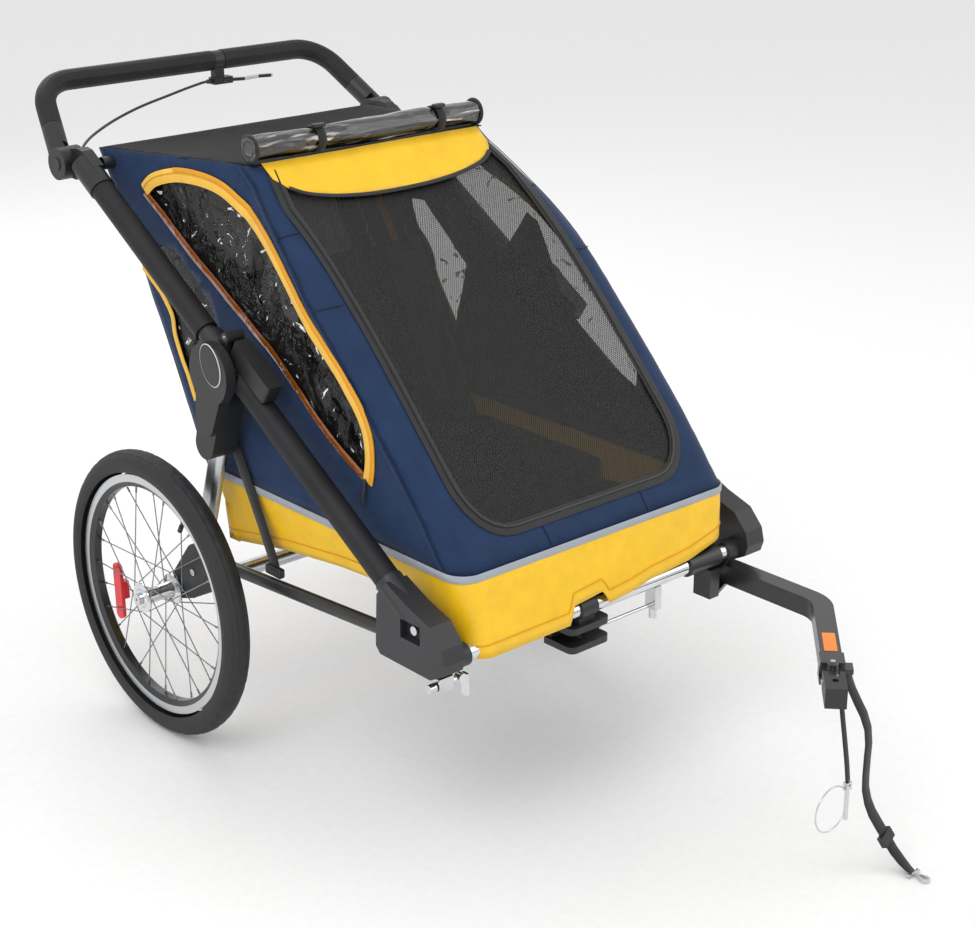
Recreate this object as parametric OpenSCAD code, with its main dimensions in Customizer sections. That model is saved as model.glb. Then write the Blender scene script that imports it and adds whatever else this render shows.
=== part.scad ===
// Two-wheeled fabric child trailer for towing behind a bicycle.
// X runs across (the trailer's right side is -X), travel is towards -Y, Z is up.
// Lengths are written from the wheel axle (y = 0) and the ground (z = 0); place() then moves
// the whole model along Y so that the origin lies under the middle of the trailer.

/* [Wheels] */
// Outside diameter of the tyre
wheel_od = 500; // [470:1:520]
// Distance between the two wheel planes
track = 730; // [728:1:800]
// Section width of the tyre
tyre_w = 46; // [40:1:50]
// Diameter at the outer edge of the rim
rim_od = 420; // [380:1:424]
// Depth of the rim from its outer edge to the spoke bed
rim_depth = 22; // [16:1:30]
// Number of spokes in one wheel
spoke_count = 28; // [16:4:36]
// Diameter of one spoke
spoke_d = 2; // [1.6:0.1:2.4]
// Distance between the hub's flanges
flange_gap = 60; // [50:1:60]
// Diameter of the quick-release wheel axle
axle_d = 12; // [9:0.5:15]

/* [Frame] */
// Distance between the centre lines of the two sloping main tubes
frame_w = 650; // [640:1:680]
// Diameter of the main tubes
tube_d = 32; // [28:0.5:34]
// Slope of the main tubes
tube_angle = 32.2; // [31:0.1:34]
// Height of the fold joint above the ground
joint_z = 702.5; // [695:0.5:715]
// Outside diameter of the foam sleeves
foam_d = 40; // [37:0.5:41]
// Length of the upper main tube
upper_len = 448; // [440:1:450]
// Height of the fold hinge's axis over the tube's centre line
hinge_rise = 45; // [42:0.5:50]
// Diameter of the hinge pins
pin_d = 10; // [8:0.5:12]
// Diameter of the cross tubes
cross_d = 28; // [24:0.5:30]
// Diameter of the side rails
rail_d = 22; // [18:0.5:24]
// Diameter of the round disc on the fold housing
disc_d = 100; // [90:1:110]
// Wall of the tubes
tube_wall = 2; // [1.5:0.1:3]

/* [Handlebar] */
// Width of the handlebar between its arms' centre lines
bar_w = 590; // [560:1:600]
// Diameter of the handlebar tube
bar_tube_d = 25; // [22:0.5:28]
// Diameter of the bar's foam grip
bar_foam_d = 36; // [32:0.5:38]
// Diameter of the round pivot hubs
hub_d = 54; // [50:1:60]
// Diameter of the push button in each hub
button_d = 22; // [18:0.5:26]
// Travel of the push button
button_travel = 5; // [3:0.5:6]

/* [Cabin] */
// Width of the cabin at the reflective strip
cabin_w = 576; // [560:1:578]
// Height of the reflective strip above the ground
strip_z = 478; // [470:1:486]
// Thickness of the fabric walls
fabric_t = 3; // [2.5:0.1:4]
// Diameter of the rolled-up rain cover
roll_d = 45; // [40:1:50]
// Length of the rolled-up rain cover
roll_len = 476; // [440:1:480]
// Thickness of the seat pads
seat_t = 24; // [16:1:28]

/* [Tow arm] */
// Width and height of the square tow arm
arm_w = 32; // [28:0.5:34]
// Radius of the bend in the tow arm's centre line
arm_bend_r = 60; // [50:1:80]
// Diameter of the hitch pin's hole
hitch_hole_d = 10; // [8:0.5:12]
// Width of the safety strap's webbing
strap_w = 20; // [16:1:25]
// Thickness of the safety strap's webbing
strap_t = 3; // [2:0.5:4]

/* [Hidden] */
$fn = 48;
// Moves the axle frame so that the origin is under the middle of the trailer
shift_y = 350;
// Gap between neighbouring pieces on different bodies
gap = 0.3;
// Radial clearance of a running fit
fit = 0.05;

axle_z = wheel_od / 2;
wheel_x = track / 2;
tube_x = frame_w / 2;
tube_r = tube_d / 2;
foam_r = foam_d / 2;
joint_y = -177;
// Half of the bare gap between the upper and the lower main tube
tube_end = 3;
lower_len = 517;
upper_foam = [57, 391];
lower_foam = [-467, -57];
// Collar of the fold joint round each main tube
collar_r = tube_r + 6;
collar_end = 45;
disc_x = tube_x + foam_r + 1;
disc_t = 18;
disc_y = -184;
disc_z = 684;
// Leg: a flat-sided oval tube from the fold housing to the axle knuckle
leg_x = 318;
leg_foot_y = -62;
leg_foot_z = 299;
leg_lean = 17.6;
leg_oval = [20, 36];
// Handlebar pivot, measured along and across the main tube
hub_e = 489;
hub_n = -25;
hub_y = joint_y + hub_e * cos(tube_angle) - hub_n * sin(tube_angle);
hub_z = joint_z + hub_e * sin(tube_angle) + hub_n * cos(tube_angle);
hub_r = hub_d / 2;
hub_in = tube_x + 6;
hub_out = hub_in + 21;
bar_y = hub_y + 136;
bar_z = hub_z + 109;
// Bar that joins the main tubes behind the roof, at top_bar_e along and top_bar_n over the tube
top_bar_e = 440;
top_bar_n = 10;
top_bar_d = 22;
top_bar_y = joint_y + top_bar_e * cos(tube_angle) - top_bar_n * sin(tube_angle);
top_bar_z = joint_z + top_bar_e * sin(tube_angle) + top_bar_n * cos(tube_angle);
// Rear axle knuckle
knuckle_x0 = 296;
knuckle_x1 = 331;
rear_tube_y = -50;
rear_tube_z = 268;
front_tube_y = -690;
front_tube_z = 362;
cross_r = cross_d / 2;
rail_r = rail_d / 2;
rail_x = 300;
rail_back = [-100, 318];
rail_front = [-606, 356];
bracket_x0 = 306;
bracket_x1 = 346;
// Cabin profile seen from the side, from the rear foot round the nose to the rear top
half_w = cabin_w / 2;
roll_y = -135;
roll_z = 1010;
roof_z = roll_z - roll_d / 2 - gap;
cabin_rear = [-56, strip_z];
cabin_nose = [-692, strip_z];
cabin_low = [-600, strip_z + 112];
cabin_mid = [-345, strip_z + 366];
cabin_brow = [-150, roof_z + 0.8];
cabin_back = [222, 965];
brow_w = 240;
back_w = 286;
// Tow arm plan
arm_z = 317;
pivot_x = 307;
pivot_y = -660;
bend_y = -879;
arm_turn = 47;
arm_tail = 232;
lug_t = 6;
// Upright and level pins of the hitch, and the block's front, measured beyond the arm's end
yaw_y = 2;
pitch_y = -24;
block_front = -78;
pin_hole_y = -50;

// ---------- helpers ----------

module place() translate([0, shift_y, 0]) children();

// Draws a left-hand (+X) piece and its mirror image
module pair() {
  children();
  mirror([1, 0, 0]) children();
}

// One side only: side is -1 for the right (-X) and 1 for the left
module one_side(side) mirror([side < 0 ? 1 : 0, 0, 0]) children();

// Frame on the left main tube: local Z runs up the tube, local -Y points away from the ground
module on_tube() {
  translate([tube_x, joint_y, joint_z]) rotate([tube_angle - 90, 0, 0]) children();
}

// A bar of diameter d that runs along X at height z and place y
module cross_bar(y, z, d, x0, x1) {
  translate([x0, y, z]) rotate([0, 90, 0]) cylinder(d = d, h = x1 - x0);
}

// A straight rod between two points
module rod(a, b, d) {
  v = b - a;
  len = norm(v);
  translate(a)
    rotate([0, acos(v[2] / len), atan2(v[1], v[0])])
      cylinder(d = d, h = len);
}

// A plate cut from a side view of the main tube, drawn as [-across, along], from x0 to x1
module tube_plate(x0, x1) {
  on_tube() translate([x0, 0, 0]) rotate([90, 0, 90]) linear_extrude(x1 - x0) children();
}

// A plate cut from a side view, from x0 to x1
module side_plate(x0, x1) {
  translate([x0, 0, 0]) rotate([90, 0, 90]) linear_extrude(x1 - x0) children();
}

// Points of a closed tube of oval section, swept along a route
function unit(v) = v / norm(v);
function heading(p, i) = unit(p[min(i + 1, len(p) - 1)] - p[max(i - 1, 0)]);
function across(t, side) = unit(side - (side * t) * t);
function ring(c, t, side, w, h, n) = [
  for (k = [0 : n - 1])
    c + across(t, side) * (w / 2 * cos(360 * k / n))
      + cross(t, across(t, side)) * (h / 2 * sin(360 * k / n))
];

module sweep(route, side, w, h, n) {
  count = len(route);
  points = [for (i = [0 : count - 1]) each ring(route[i], heading(route, i), side, w, h, n)];
  walls = [
    for (i = [0 : count - 2], k = [0 : n - 1])
      [(i + 1) * n + k, (i + 1) * n + (k + 1) % n, i * n + (k + 1) % n, i * n + k]
  ];
  first = [for (k = [0 : n - 1]) k];
  last = [for (k = [0 : n - 1]) count * n - 1 - k];
  polyhedron(points = points, faces = concat([first, last], walls));
}

// Convex solid round a list of points
module wrap(points) hull() polyhedron(points = points, faces = [[for (i = [0 : len(points) - 1]) i]]);

// ---------- wheels ----------

// Turns a profile drawn as [radius, distance from the wheel plane]
module wheel_turn() rotate([0, 90, 0]) rotate_extrude($fn = 96) children();

module wheel_at(side) {
  place() one_side(side) translate([wheel_x, 0, axle_z]) children();
}

tyre_r = wheel_od / 2;
tyre_section = tyre_w / 2;
rim_r = rim_od / 2;
rim_half = 12.5;
rim_lip = 1.7;
bead_r = rim_r - 7;
bed_r = rim_r - rim_depth;

module tyre(side) {
  wheel_at(side) color("#26272a") {
    wheel_turn() {
      difference() {
        translate([tyre_r - tyre_section, 0]) circle(tyre_section);
        translate([tyre_r - tyre_section, 0]) circle(tyre_section - 4);
        translate([0, -tyre_w]) square([rim_r + gap, 2 * tyre_w]);
      }
      for (s = [-1, 1]) {
        translate([bead_r + 0.5, s * (rim_half - rim_lip - 2) - 1.6]) square([10.7, 3.2]);
      }
    }
    // Valve stem of the inner tube
    rotate([210, 0, 0]) translate([0, 0, bed_r - 26]) cylinder(d = 6, h = 25.7);
  }
}

module rim(side) {
  wheel_at(side) color("#c9cbcd") wheel_turn() {
    polygon([
      [rim_r, rim_half], [rim_r, rim_half - rim_lip], [bead_r, rim_half - rim_lip],
      [bead_r - 3, 6], [bead_r - 3, -6], [bead_r, rim_lip - rim_half],
      [rim_r, rim_lip - rim_half], [rim_r, -rim_half], [bead_r - 6, -rim_half],
      [bed_r, -7], [bed_r, 7], [bead_r - 6, rim_half]
    ]);
  }
}

flange_x = flange_gap / 2;
flange_r = 26;
flange_t = 3;
spoke_lead = 62;

module spokes(side) {
  step = 360 / spoke_count;
  wheel_at(side) color("#8f9296") for (k = [0 : spoke_count - 1]) {
    out = k % 2 == 0 ? 1 : -1;
    lean = floor(k / 2) % 2 == 0 ? spoke_lead : -spoke_lead;
    start_r = flange_r + spoke_d / 2 + gap;
    start_x = out * (flange_x + (lean > 0 ? 1.2 : -1.6));
    a = k * step;
    foot = [start_x, start_r * cos(a + lean), start_r * sin(a + lean)];
    tip = [out * 3, (bed_r - 1.3) * cos(a), (bed_r - 1.3) * sin(a)];
    nipple = tip + (foot - tip) * (10 / norm(foot - tip));
    rod(foot, tip, spoke_d);
    rod(nipple, tip, 3.6);
  }
}

module hub(side) {
  wheel_at(side) color("#d4d6d8") wheel_turn() {
    inner = axle_d / 2 + fit;
    polygon([
      [inner, -33.5], [14, -33.5], [17, -flange_x - flange_t / 2], [flange_r, -flange_x - flange_t / 2],
      [flange_r, -flange_x + flange_t / 2], [15, -flange_x + 5], [13, 0], [15, flange_x - 5],
      [flange_r, flange_x - flange_t / 2], [flange_r, flange_x + flange_t / 2],
      [17, flange_x + flange_t / 2], [14, flange_x + 5], [inner, flange_x + 5]
    ]);
  }
}

module reflector(side) {
  len = 104;
  wheel_at(side) color("#b3202c") translate([0, 114, -32]) rotate([-15.7 + 14, 0, 0]) {
    translate([2.85, -11, -len / 2 + 11]) cube([6.3, 22, len - 22]);
    for (s = [-1, 1]) translate([2.85, 0, s * (len / 2 - 11)]) rotate([0, 90, 0]) cylinder(d = 22, h = 6.3);
    translate([-9.45, -7, -16]) cube([12.4, 14, 32]);
  }
}

// ---------- chassis ----------

module rear_cross_tube() {
  place() color("#bfc1c3") difference() {
    cross_bar(rear_tube_y, rear_tube_z, cross_d, -knuckle_x0 - 14, knuckle_x0 + 14);
    cross_bar(rear_tube_y, rear_tube_z, cross_d - 2 * tube_wall, -knuckle_x1, knuckle_x1);
  }
}

module leg_axis() {
  translate([leg_x, leg_foot_y, leg_foot_z]) rotate([leg_lean, 0, 0]) children();
}

module leg_oval(grow) {
  flat = leg_oval[1] - leg_oval[0];
  for (s = [-1, 1]) translate([0, s * flat / 2]) circle(leg_oval[0] / 2 + grow);
  translate([-leg_oval[0] / 2 - grow, -flat / 2]) square([leg_oval[0] + 2 * grow, flat]);
}

leg_top = 262;
leg_bottom = -12;

module leg_tubes() {
  place() color("#c3c5c7") pair() leg_axis() translate([0, 0, leg_bottom]) {
    linear_extrude(leg_top - leg_bottom) difference() {
      leg_oval(0);
      leg_oval(-tube_wall);
    }
  }
}

module leg_bore() {
  leg_axis() translate([0, 0, leg_bottom - 0.1]) linear_extrude(leg_top - leg_bottom + 0.2) leg_oval(0.05);
}

module rail(grow) {
  rod([rail_x, rail_back[0], rail_back[1]], [rail_x, rail_front[0], rail_front[1]], rail_d + 2 * grow);
}

module side_rails() {
  place() color("#202124") pair() difference() {
    rail(0);
    translate([0, 0.5, 0]) rail(-tube_wall);
    translate([0, -0.5, 0]) rail(-tube_wall);
  }
}

module axle_knuckles() {
  place() color("#1d1e20") pair() difference() {
    side_plate(knuckle_x0, knuckle_x1) {
      hull() {
        translate([0, axle_z]) circle(19);
        translate([rear_tube_y, rear_tube_z]) circle(cross_r + 6);
        translate([-70, 322]) circle(29);
      }
      hull() {
        translate([-70, 322]) circle(22);
        translate([-118, 319]) circle(rail_r + 5);
      }
    }
    cross_bar(0, axle_z, axle_d + 2 * fit, knuckle_x0 - 1, knuckle_x1 + 1);
    cross_bar(rear_tube_y, rear_tube_z, cross_d + 0.1, knuckle_x0 - 1, knuckle_x0 + 14.1);
    leg_bore();
    rail(0.1);
  }
}

// Side view of a hinge ear that stands on the collar, on the lower (-1) or upper (1) tube's side
module hinge_ear(dir) {
  translate([-hinge_rise, 0]) circle(d = 2 * pin_d);
  polygon([
    [-hinge_rise - pin_d + 1, dir * 3], [-hinge_rise + 4, -dir * (pin_d - 1)],
    [-collar_r + 3, dir * tube_end], [-collar_r + 3, dir * 20]
  ]);
}

module housing_outline() {
  translate([disc_y, disc_z]) circle(d = disc_d);
}

module leg_housings() {
  place() color("#232427") pair() difference() {
    union() {
      // Round disc outside the tube
      side_plate(disc_x, disc_x + disc_t) housing_outline();
      // Sleeve round the leg, widened up to the disc
      side_plate(leg_x - 15, disc_x + 4) hull() {
        translate([-143, 552]) circle(24);
        translate([-168, 632]) circle(27);
      }
      side_plate(tube_x + 11, disc_x + disc_t - 6) hull() {
        translate([-158, 596]) circle(24);
        translate([-172, 648]) circle(32);
      }
      // Collar on the lower main tube, carried by a web from the disc
      on_tube() translate([0, 0, -collar_end]) cylinder(r = collar_r, h = collar_end - tube_end);
      on_tube() translate([0, -12, -collar_end]) cube([disc_x - tube_x + 4, 44, collar_end - tube_end]);
      // Ears of the fold hinge, over the collar
      for (x = [-16, 8.3]) tube_plate(x, x + 7.7) hinge_ear(-1);
      // Fin that guides the release handle
      on_tube() translate([-2, -46, -44]) cube([4, 46 - collar_r + 3, 22]);
    }
    // Room for both main tubes and for the upper foam
    on_tube() translate([0, 0, -100]) cylinder(r = tube_r + 0.05, h = 97.1);
    on_tube() translate([0, 0, -tube_end - 0.1]) cylinder(r = collar_r + 1, h = 140);
    leg_bore();
    on_tube() translate([-20, -hinge_rise, 0]) rotate([0, 90, 0]) cylinder(d = pin_d, h = 40);
    // Round the neck of the tongue when the frame folds
    on_tube() translate([-8, -collar_r - 27, -16]) cube([16, 26, 40]);
  }
}

module lower_tubes() {
  place() color("#2b2c2f") pair() on_tube() difference() {
    translate([0, 0, -lower_len - tube_end]) cylinder(r = tube_r, h = lower_len);
    translate([0, 0, -lower_len - tube_end - 1]) cylinder(r = tube_r - tube_wall, h = lower_len + 2);
  }
}

module sleeve(ends) {
  on_tube() translate([0, 0, ends[0]]) difference() {
    cylinder(r = foam_r, h = ends[1] - ends[0]);
    translate([0, 0, -1]) cylinder(r = tube_r + 0.05, h = ends[1] - ends[0] + 2);
  }
}

module lower_grips() {
  place() color("#2a2a2c") pair() sleeve(lower_foam);
}

module bracket_body() {
  polygon([
    [-566, 352], [-576, 341], [-690, 340], [-716, 354], [-722, 372], [-716, 396], [-690, 424],
    [-640, 440], [-592, 462], [-570, 436]
  ]);
}

skewer_y = -690;
skewer_z = 326;
skewer_d = 6;

module front_brackets() {
  place() color("#37383b") pair() difference() {
    union() {
      on_tube() translate([0, 0, -538]) cylinder(r = collar_r, h = 70);
      side_plate(bracket_x0, bracket_x1) bracket_body();
      // Elbow that takes the front cross tube
      cross_bar(front_tube_y, front_tube_z, cross_d + 8, 280, bracket_x0 + 10);
      // Lug that takes the side rail
      side_plate(286, bracket_x0 + 5) translate([-612, 341]) square([34, 34]);
    }
    // Shallow window with the tube bolt in it
    translate([bracket_x1 - 12, -668, 386]) cube([20, 44, 30]);
    on_tube() translate([0, 0, -lower_len - tube_end - 0.1]) cylinder(r = tube_r + 0.05, h = 100);
    cross_bar(front_tube_y, front_tube_z, cross_d + 0.1, 270, 300.1);
    rail(0.05);
    // Keeps the lug off the tub's side wall
    translate([0, -800, 300]) cube([half_w + gap, 160, 20]);
  }
}

module frame_bolts() {
  place() color("#c8cacc") {
    // Hinge pins of the fold joint, one in each pair of ears
    pair() on_tube() translate([-16, -hinge_rise, 0]) rotate([0, 90, 0]) cylinder(d = pin_d, h = 32);
    // Tube bolts in the front brackets
    pair() translate([bracket_x1 - 12 + gap, -646, 401]) rotate([0, 90, 0]) cylinder(d = 14, h = 5);
    // Bolts that hold the legs in the knuckles
    pair() translate([knuckle_x1 + gap, leg_foot_y, leg_foot_z]) rotate([0, 90, 0]) cylinder(d = 12, h = 3);
    // Pivot pin of the tow arm
    translate([pivot_x, pivot_y, arm_z - arm_w / 2 - lug_t - 6])
      cylinder(d = pin_d, h = arm_w + 2 * lug_t + 6);
    translate([pivot_x, pivot_y, arm_z - arm_w / 2 - lug_t - 7]) cylinder(d = 18, h = 6.2);
  }
}

module front_cross_tube() {
  place() color("#d2d4d6") difference() {
    cross_bar(front_tube_y, front_tube_z, cross_d, -300, 300);
    cross_bar(front_tube_y, front_tube_z, cross_d - 2 * tube_wall, -301, 301);
  }
}

lobe_w = 84;
lobe_x0 = -76;
lobe_y0 = -706;
lobe_y1 = -644;
receiver_hole_d = 13;

module lobe(z0, t) {
  translate([lobe_x0, 0, z0]) linear_extrude(t) hull() {
    translate([12, lobe_y0 + 12]) circle(12);
    translate([lobe_w - 12, lobe_y0 + 12]) circle(12);
    translate([0, lobe_y1 - 10]) square([lobe_w, 10]);
  }
}

module centre_bracket() {
  place() color("#1f2022") difference() {
    union() {
      lobe(296, 11);
      lobe(327, 11);
      // Back wall that joins the two plates
      translate([lobe_x0 + 4, lobe_y1 - 12, 296]) cube([lobe_w - 8, 12, 42]);
      // Clamp round the front cross tube
      cross_bar(front_tube_y, front_tube_z, cross_d + 7, lobe_x0 + 22, lobe_x0 + 56);
      translate([lobe_x0 + 22, front_tube_y - 8, 334]) cube([34, 16, 14]);
    }
    cross_bar(front_tube_y, front_tube_z, cross_d + 0.1, -120, 40);
    translate([lobe_x0 + lobe_w / 2, -682, 280]) cylinder(d = receiver_hole_d, h = 60.5);
  }
}

module tow_socket() {
  lug_r = 21;
  place() color("#232426") difference() {
    union() {
      cross_bar(front_tube_y, front_tube_z, cross_d + 8, 190, 262);
      // Web down from the clamp to the two lugs
      translate([236, -706, arm_z - arm_w / 2 - lug_t - gap]) cube([22, 36, 50]);
      for (z = [arm_z - arm_w / 2 - lug_t - gap, arm_z + arm_w / 2 + gap]) {
        translate([0, 0, z]) linear_extrude(lug_t) hull() {
          translate([pivot_x, pivot_y]) circle(lug_r);
          translate([238, -704]) square([18, 32]);
        }
      }
    }
    cross_bar(front_tube_y, front_tube_z, cross_d + 0.1, 180, 270);
    translate([pivot_x, pivot_y, 250]) cylinder(d = pin_d, h = 120);
  }
}

module axles_and_skewers() {
  place() color("#cfd1d3") {
    // Wheel axles with their round caps
    pair() difference() {
      union() {
        cross_bar(0, axle_z, axle_d, knuckle_x0, wheel_x + flange_x + 8);
        cross_bar(0, axle_z, axle_d + 8, wheel_x + flange_x + 5.3, wheel_x + flange_x + 12);
      }
      cross_bar(0, axle_z, 5, wheel_x + flange_x + 9, wheel_x + flange_x + 13);
    }
    // Skewer under the right-hand bracket, with its nut
    one_side(-1) {
      cross_bar(skewer_y, skewer_z, skewer_d, 296, 344);
      cross_bar(skewer_y, skewer_z, 15, 300, 306);
      cross_bar(skewer_y, skewer_z, 15, 338, 350);
      side_plate(308, 336) polygon([
        [skewer_y - 9, 339.7], [skewer_y + 9, 339.7], [skewer_y + 9, 318], [skewer_y - 9, 318]
      ]);
    }
    // Skewer at the outside of the left-hand bracket
    cross_bar(-655, 356, skewer_d, bracket_x1 + gap, bracket_x1 + 16);
    cross_bar(-655, 356, 14, bracket_x1 + gap, bracket_x1 + 5);
    // Skewer of the centre bracket, hung under the front cross tube
    cross_bar(-690, 318, skewer_d, lobe_x0 + lobe_w - 12, 112);
    difference() {
      translate([112, -701, 311]) cube([14, 22, 40]);
      cross_bar(front_tube_y, front_tube_z, cross_d + 0.6, 100, 140);
    }
    translate([119, -690, 295]) cylinder(d = 13, h = 16);
  }
}

// ---------- cabin: fabric ----------

tub_foot_w = 276;
tub_front = [-704, front_tube_z + cross_r + 5];
tub_rear = [-103, 353];

// Eight corners of the tub, moved inwards by an inset
function tub_points(inset, top) = [
  for (s = [-1, 1]) each [
    [s * (half_w - inset), cabin_rear[0] - inset, top],
    [s * (half_w - inset), cabin_nose[0] + inset, top],
    [s * (tub_foot_w - inset), tub_front[0] + inset, tub_front[1] + inset],
    [s * (tub_foot_w - inset), tub_rear[0] - inset, tub_rear[1] + inset]
  ]
];

module lower_tub() {
  place() color("#f2c418") difference() {
    wrap(tub_points(0, strip_z));
    wrap(tub_points(fabric_t, strip_z + 0.5));
  }
}

// Corners of the upper cabin, moved inwards across the trailer by an inset
function cabin_side(s, inset) = [
  [s * (half_w - inset), cabin_rear[0], cabin_rear[1] + gap],
  [s * (half_w - inset), cabin_nose[0], cabin_nose[1] + gap],
  [s * (half_w - inset), cabin_low[0], cabin_low[1]],
  [s * (half_w - 3 - inset), cabin_mid[0], cabin_mid[1]],
  [s * (brow_w - inset), cabin_brow[0], cabin_brow[1]],
  [s * (back_w - inset), cabin_back[0], cabin_back[1]]
];

module cabin_solid(inset) wrap(concat(cabin_side(-1, inset), cabin_side(1, inset)));

// Side view of the cabin, open at its foot, moved inwards by an inset
module cabin_profile(inset) {
  offset(delta = -inset) polygon([
    [cabin_rear[0] - 6, cabin_rear[1] - 12], [cabin_nose[0] - 9, cabin_nose[1] - 12],
    cabin_nose, cabin_low, cabin_mid, cabin_brow, cabin_back, cabin_rear
  ]);
}

module across_cabin() side_plate(-400, 400) children();

// The fabric band between two offsets of the side view, within a zone
module band(t0, t1) {
  intersection() {
    cabin_solid(0);
    across_cabin() intersection() {
      difference() {
        cabin_profile(t0);
        cabin_profile(t1);
      }
      children();
    }
  }
}

module front_zone() translate([-800, strip_z + gap]) square([800 + cabin_brow[0], 700]);
module top_zone() translate([cabin_brow[0] + gap, cabin_back[1] - 7]) square([500, 200]);
module rear_zone() translate([cabin_brow[0] + gap, strip_z + gap]) square([500, cabin_back[1] - 7.3 - strip_z - gap]);

// Opening of the front window, drawn flat on the sloping nose
mesh_top = 920;
mesh_bottom = 532;
mesh_half = 212;

module mesh_hole(inset) {
  translate([0, 0, mesh_bottom + inset]) rotate([90, 0, 0]) linear_extrude(900)
    offset(r = 40 - inset) offset(delta = -40) polygon([
      [-mesh_half + 10, 0], [mesh_half - 10, 0], [mesh_half, 120], [mesh_half - 4, 300],
      [mesh_half - 24, mesh_top - mesh_bottom], [-mesh_half + 24, mesh_top - mesh_bottom],
      [-mesh_half + 4, 300], [-mesh_half, 120]
    ]);
}

module front_panel() {
  place() color("#1f3358") difference() {
    band(0, fabric_t) front_zone();
    mesh_hole(0);
  }
}

module mesh_window() {
  place() color("#1b1b1c") intersection() {
    band(0.5, fabric_t - 0.8) front_zone();
    mesh_hole(gap);
  }
}

module top_panel() {
  place() color("#1b2438") band(0, fabric_t) top_zone();
}

module rear_panel() {
  place() color("#22304d") band(0, fabric_t) rear_zone();
}

// Outline of the side window
module window_outline(inset) {
  offset(r = 14 - inset) offset(delta = -14) polygon([
    [96, 912], [60, 938], [-60, 955], [-150, 935], [-240, 880], [-330, 795],
    [-434, 675], [-505, 582], [-492, 560]
  ]);
}

module side_wall(inset0, inset1) {
  difference() {
    cabin_solid(inset0);
    cabin_solid(inset1);
  }
}

module side_panels() {
  place() color("#21365d") difference() {
    intersection() {
      side_wall(0, fabric_t);
      across_cabin() difference() {
        cabin_profile(fabric_t + gap);
        translate([-900, 0]) square([1800, strip_z + gap]);
      }
    }
    across_cabin() window_outline(0);
    // Room for the rear top bar
    cross_bar(top_bar_y, top_bar_z, top_bar_d + 2, -400, 400);
  }
}

module side_windows() {
  place() color("#c9d3d8", 0.5) intersection() {
    side_wall(0.5, fabric_t - 0.8);
    across_cabin() window_outline(gap);
  }
}

module rain_cover_roll() {
  place() color("#2b2d30") difference() {
    cross_bar(roll_y, roll_z, roll_d, -roll_len / 2, roll_len / 2);
    cross_bar(roll_y, roll_z, 14, -roll_len / 2 - 1, roll_len / 2 + 1);
  }
}

// Seat: a slung base and a leaning back
seat_half = 250;
base_y = [-420, -98];
base_z = 424;
back_foot = [-118, 458.6];
back_head = [98, 880];

module seat_base() {
  place() color("#1b1c1e") wrap([
    for (s = [-1, 1], y = base_y, z = [0, seat_t])
      [s * (half_w - fabric_t - 5.6), y, base_z + z + (y == base_y[0] ? 8 : 0)]
  ]);
}

module seat_back() {
  lean = atan2(back_head[0] - back_foot[0], back_head[1] - back_foot[1]);
  len = norm(back_head - back_foot);
  place() color("#1d1e20") translate([0, back_foot[0], back_foot[1]]) rotate([-lean, 0, 0])
    translate([-seat_half, 0, 0]) cube([2 * seat_half, seat_t, len]);
}

belt_w = 30;
belt_t = 2.5;

module harness() {
  lean = atan2(back_head[0] - back_foot[0], back_head[1] - back_foot[1]);
  place() color("#151517") {
    for (x = [-180, -85, 85, 180]) {
      translate([x - belt_w / 2, back_foot[0], back_foot[1]]) rotate([-lean, 0, 0])
        translate([0, -belt_t - gap, 40]) cube([belt_w, belt_t, 330]);
    }
    for (s = [-1, 1]) translate([s * 132 - 22, back_foot[0], back_foot[1]]) rotate([-lean, 0, 0])
      translate([0, -belt_t - 6 - gap, 58]) cube([44, 6, 40]);
    for (s = [-1, 1]) translate([s * 132 - 60, back_foot[0], back_foot[1]]) rotate([-lean, 0, 0])
      translate([0, -2 * belt_t - 2 * gap, 62]) cube([120, belt_t, 30]);
  }
}

// Webbing that ties each side of the cabin down to the rail
module side_straps() {
  place() color("#19191b") pair() {
    wrap([
      for (x = [half_w + 2, half_w + 4.5], p = [[-128, 545], [-158, 545], [-258, 350.6], [-232, 350.6]])
        [x, p[0], p[1]]
    ]);
    translate([half_w + 1, -262, 341.6]) cube([rail_x - half_w + 2, 30, 10]);
  }
}

// ---------- upper frame ----------

module upper_tubes() {
  place() color("#2b2c2f") pair() on_tube() difference() {
    translate([0, 0, tube_end]) cylinder(r = tube_r, h = upper_len);
    translate([0, 0, tube_end - 1]) cylinder(r = tube_r - tube_wall, h = upper_len + 2);
  }
}

module upper_grips() {
  place() color("#2a2a2c") pair() sleeve(upper_foam);
}

module rear_top_bar() {
  place() color("#2b2c2f") difference() {
    cross_bar(top_bar_y, top_bar_z, top_bar_d, -tube_x + collar_r + gap, tube_x - collar_r - gap);
    cross_bar(top_bar_y, top_bar_z, top_bar_d - 2 * tube_wall, -tube_x, tube_x);
  }
}

shaft_d = 16;
// Where the collar of the handle bracket ends along the tube
bracket_end = 455;

module handle_brackets() {
  place() color("#232427") pair() difference() {
    union() {
      on_tube() translate([0, 0, upper_foam[1] + 1]) cylinder(r = collar_r, h = bracket_end - upper_foam[1]);
      // Lug that carries the handlebar's pivot, inside the plane of the hub
      tube_plate(-15, hub_in - tube_x - gap) {
        translate([-hub_n, hub_e]) circle(d = hub_d);
        polygon([
          [-collar_r, bracket_end - 30], [-hub_n + 10, hub_e - hub_r - 6], [-hub_n + hub_r, hub_e],
          [-hub_n - 4, hub_e + hub_r - 0.5], [-collar_r + 6, bracket_end + 22], [-collar_r, bracket_end + 8]
        ]);
      }
    }
    on_tube() translate([0, 0, upper_foam[1]]) cylinder(r = tube_r + 0.05, h = tube_end + upper_len - upper_foam[1] + 0.1);
    on_tube() translate([-40, -hub_n, hub_e]) rotate([0, 90, 0]) cylinder(d = shaft_d + 2 * fit, h = 80);
  }
}

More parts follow.
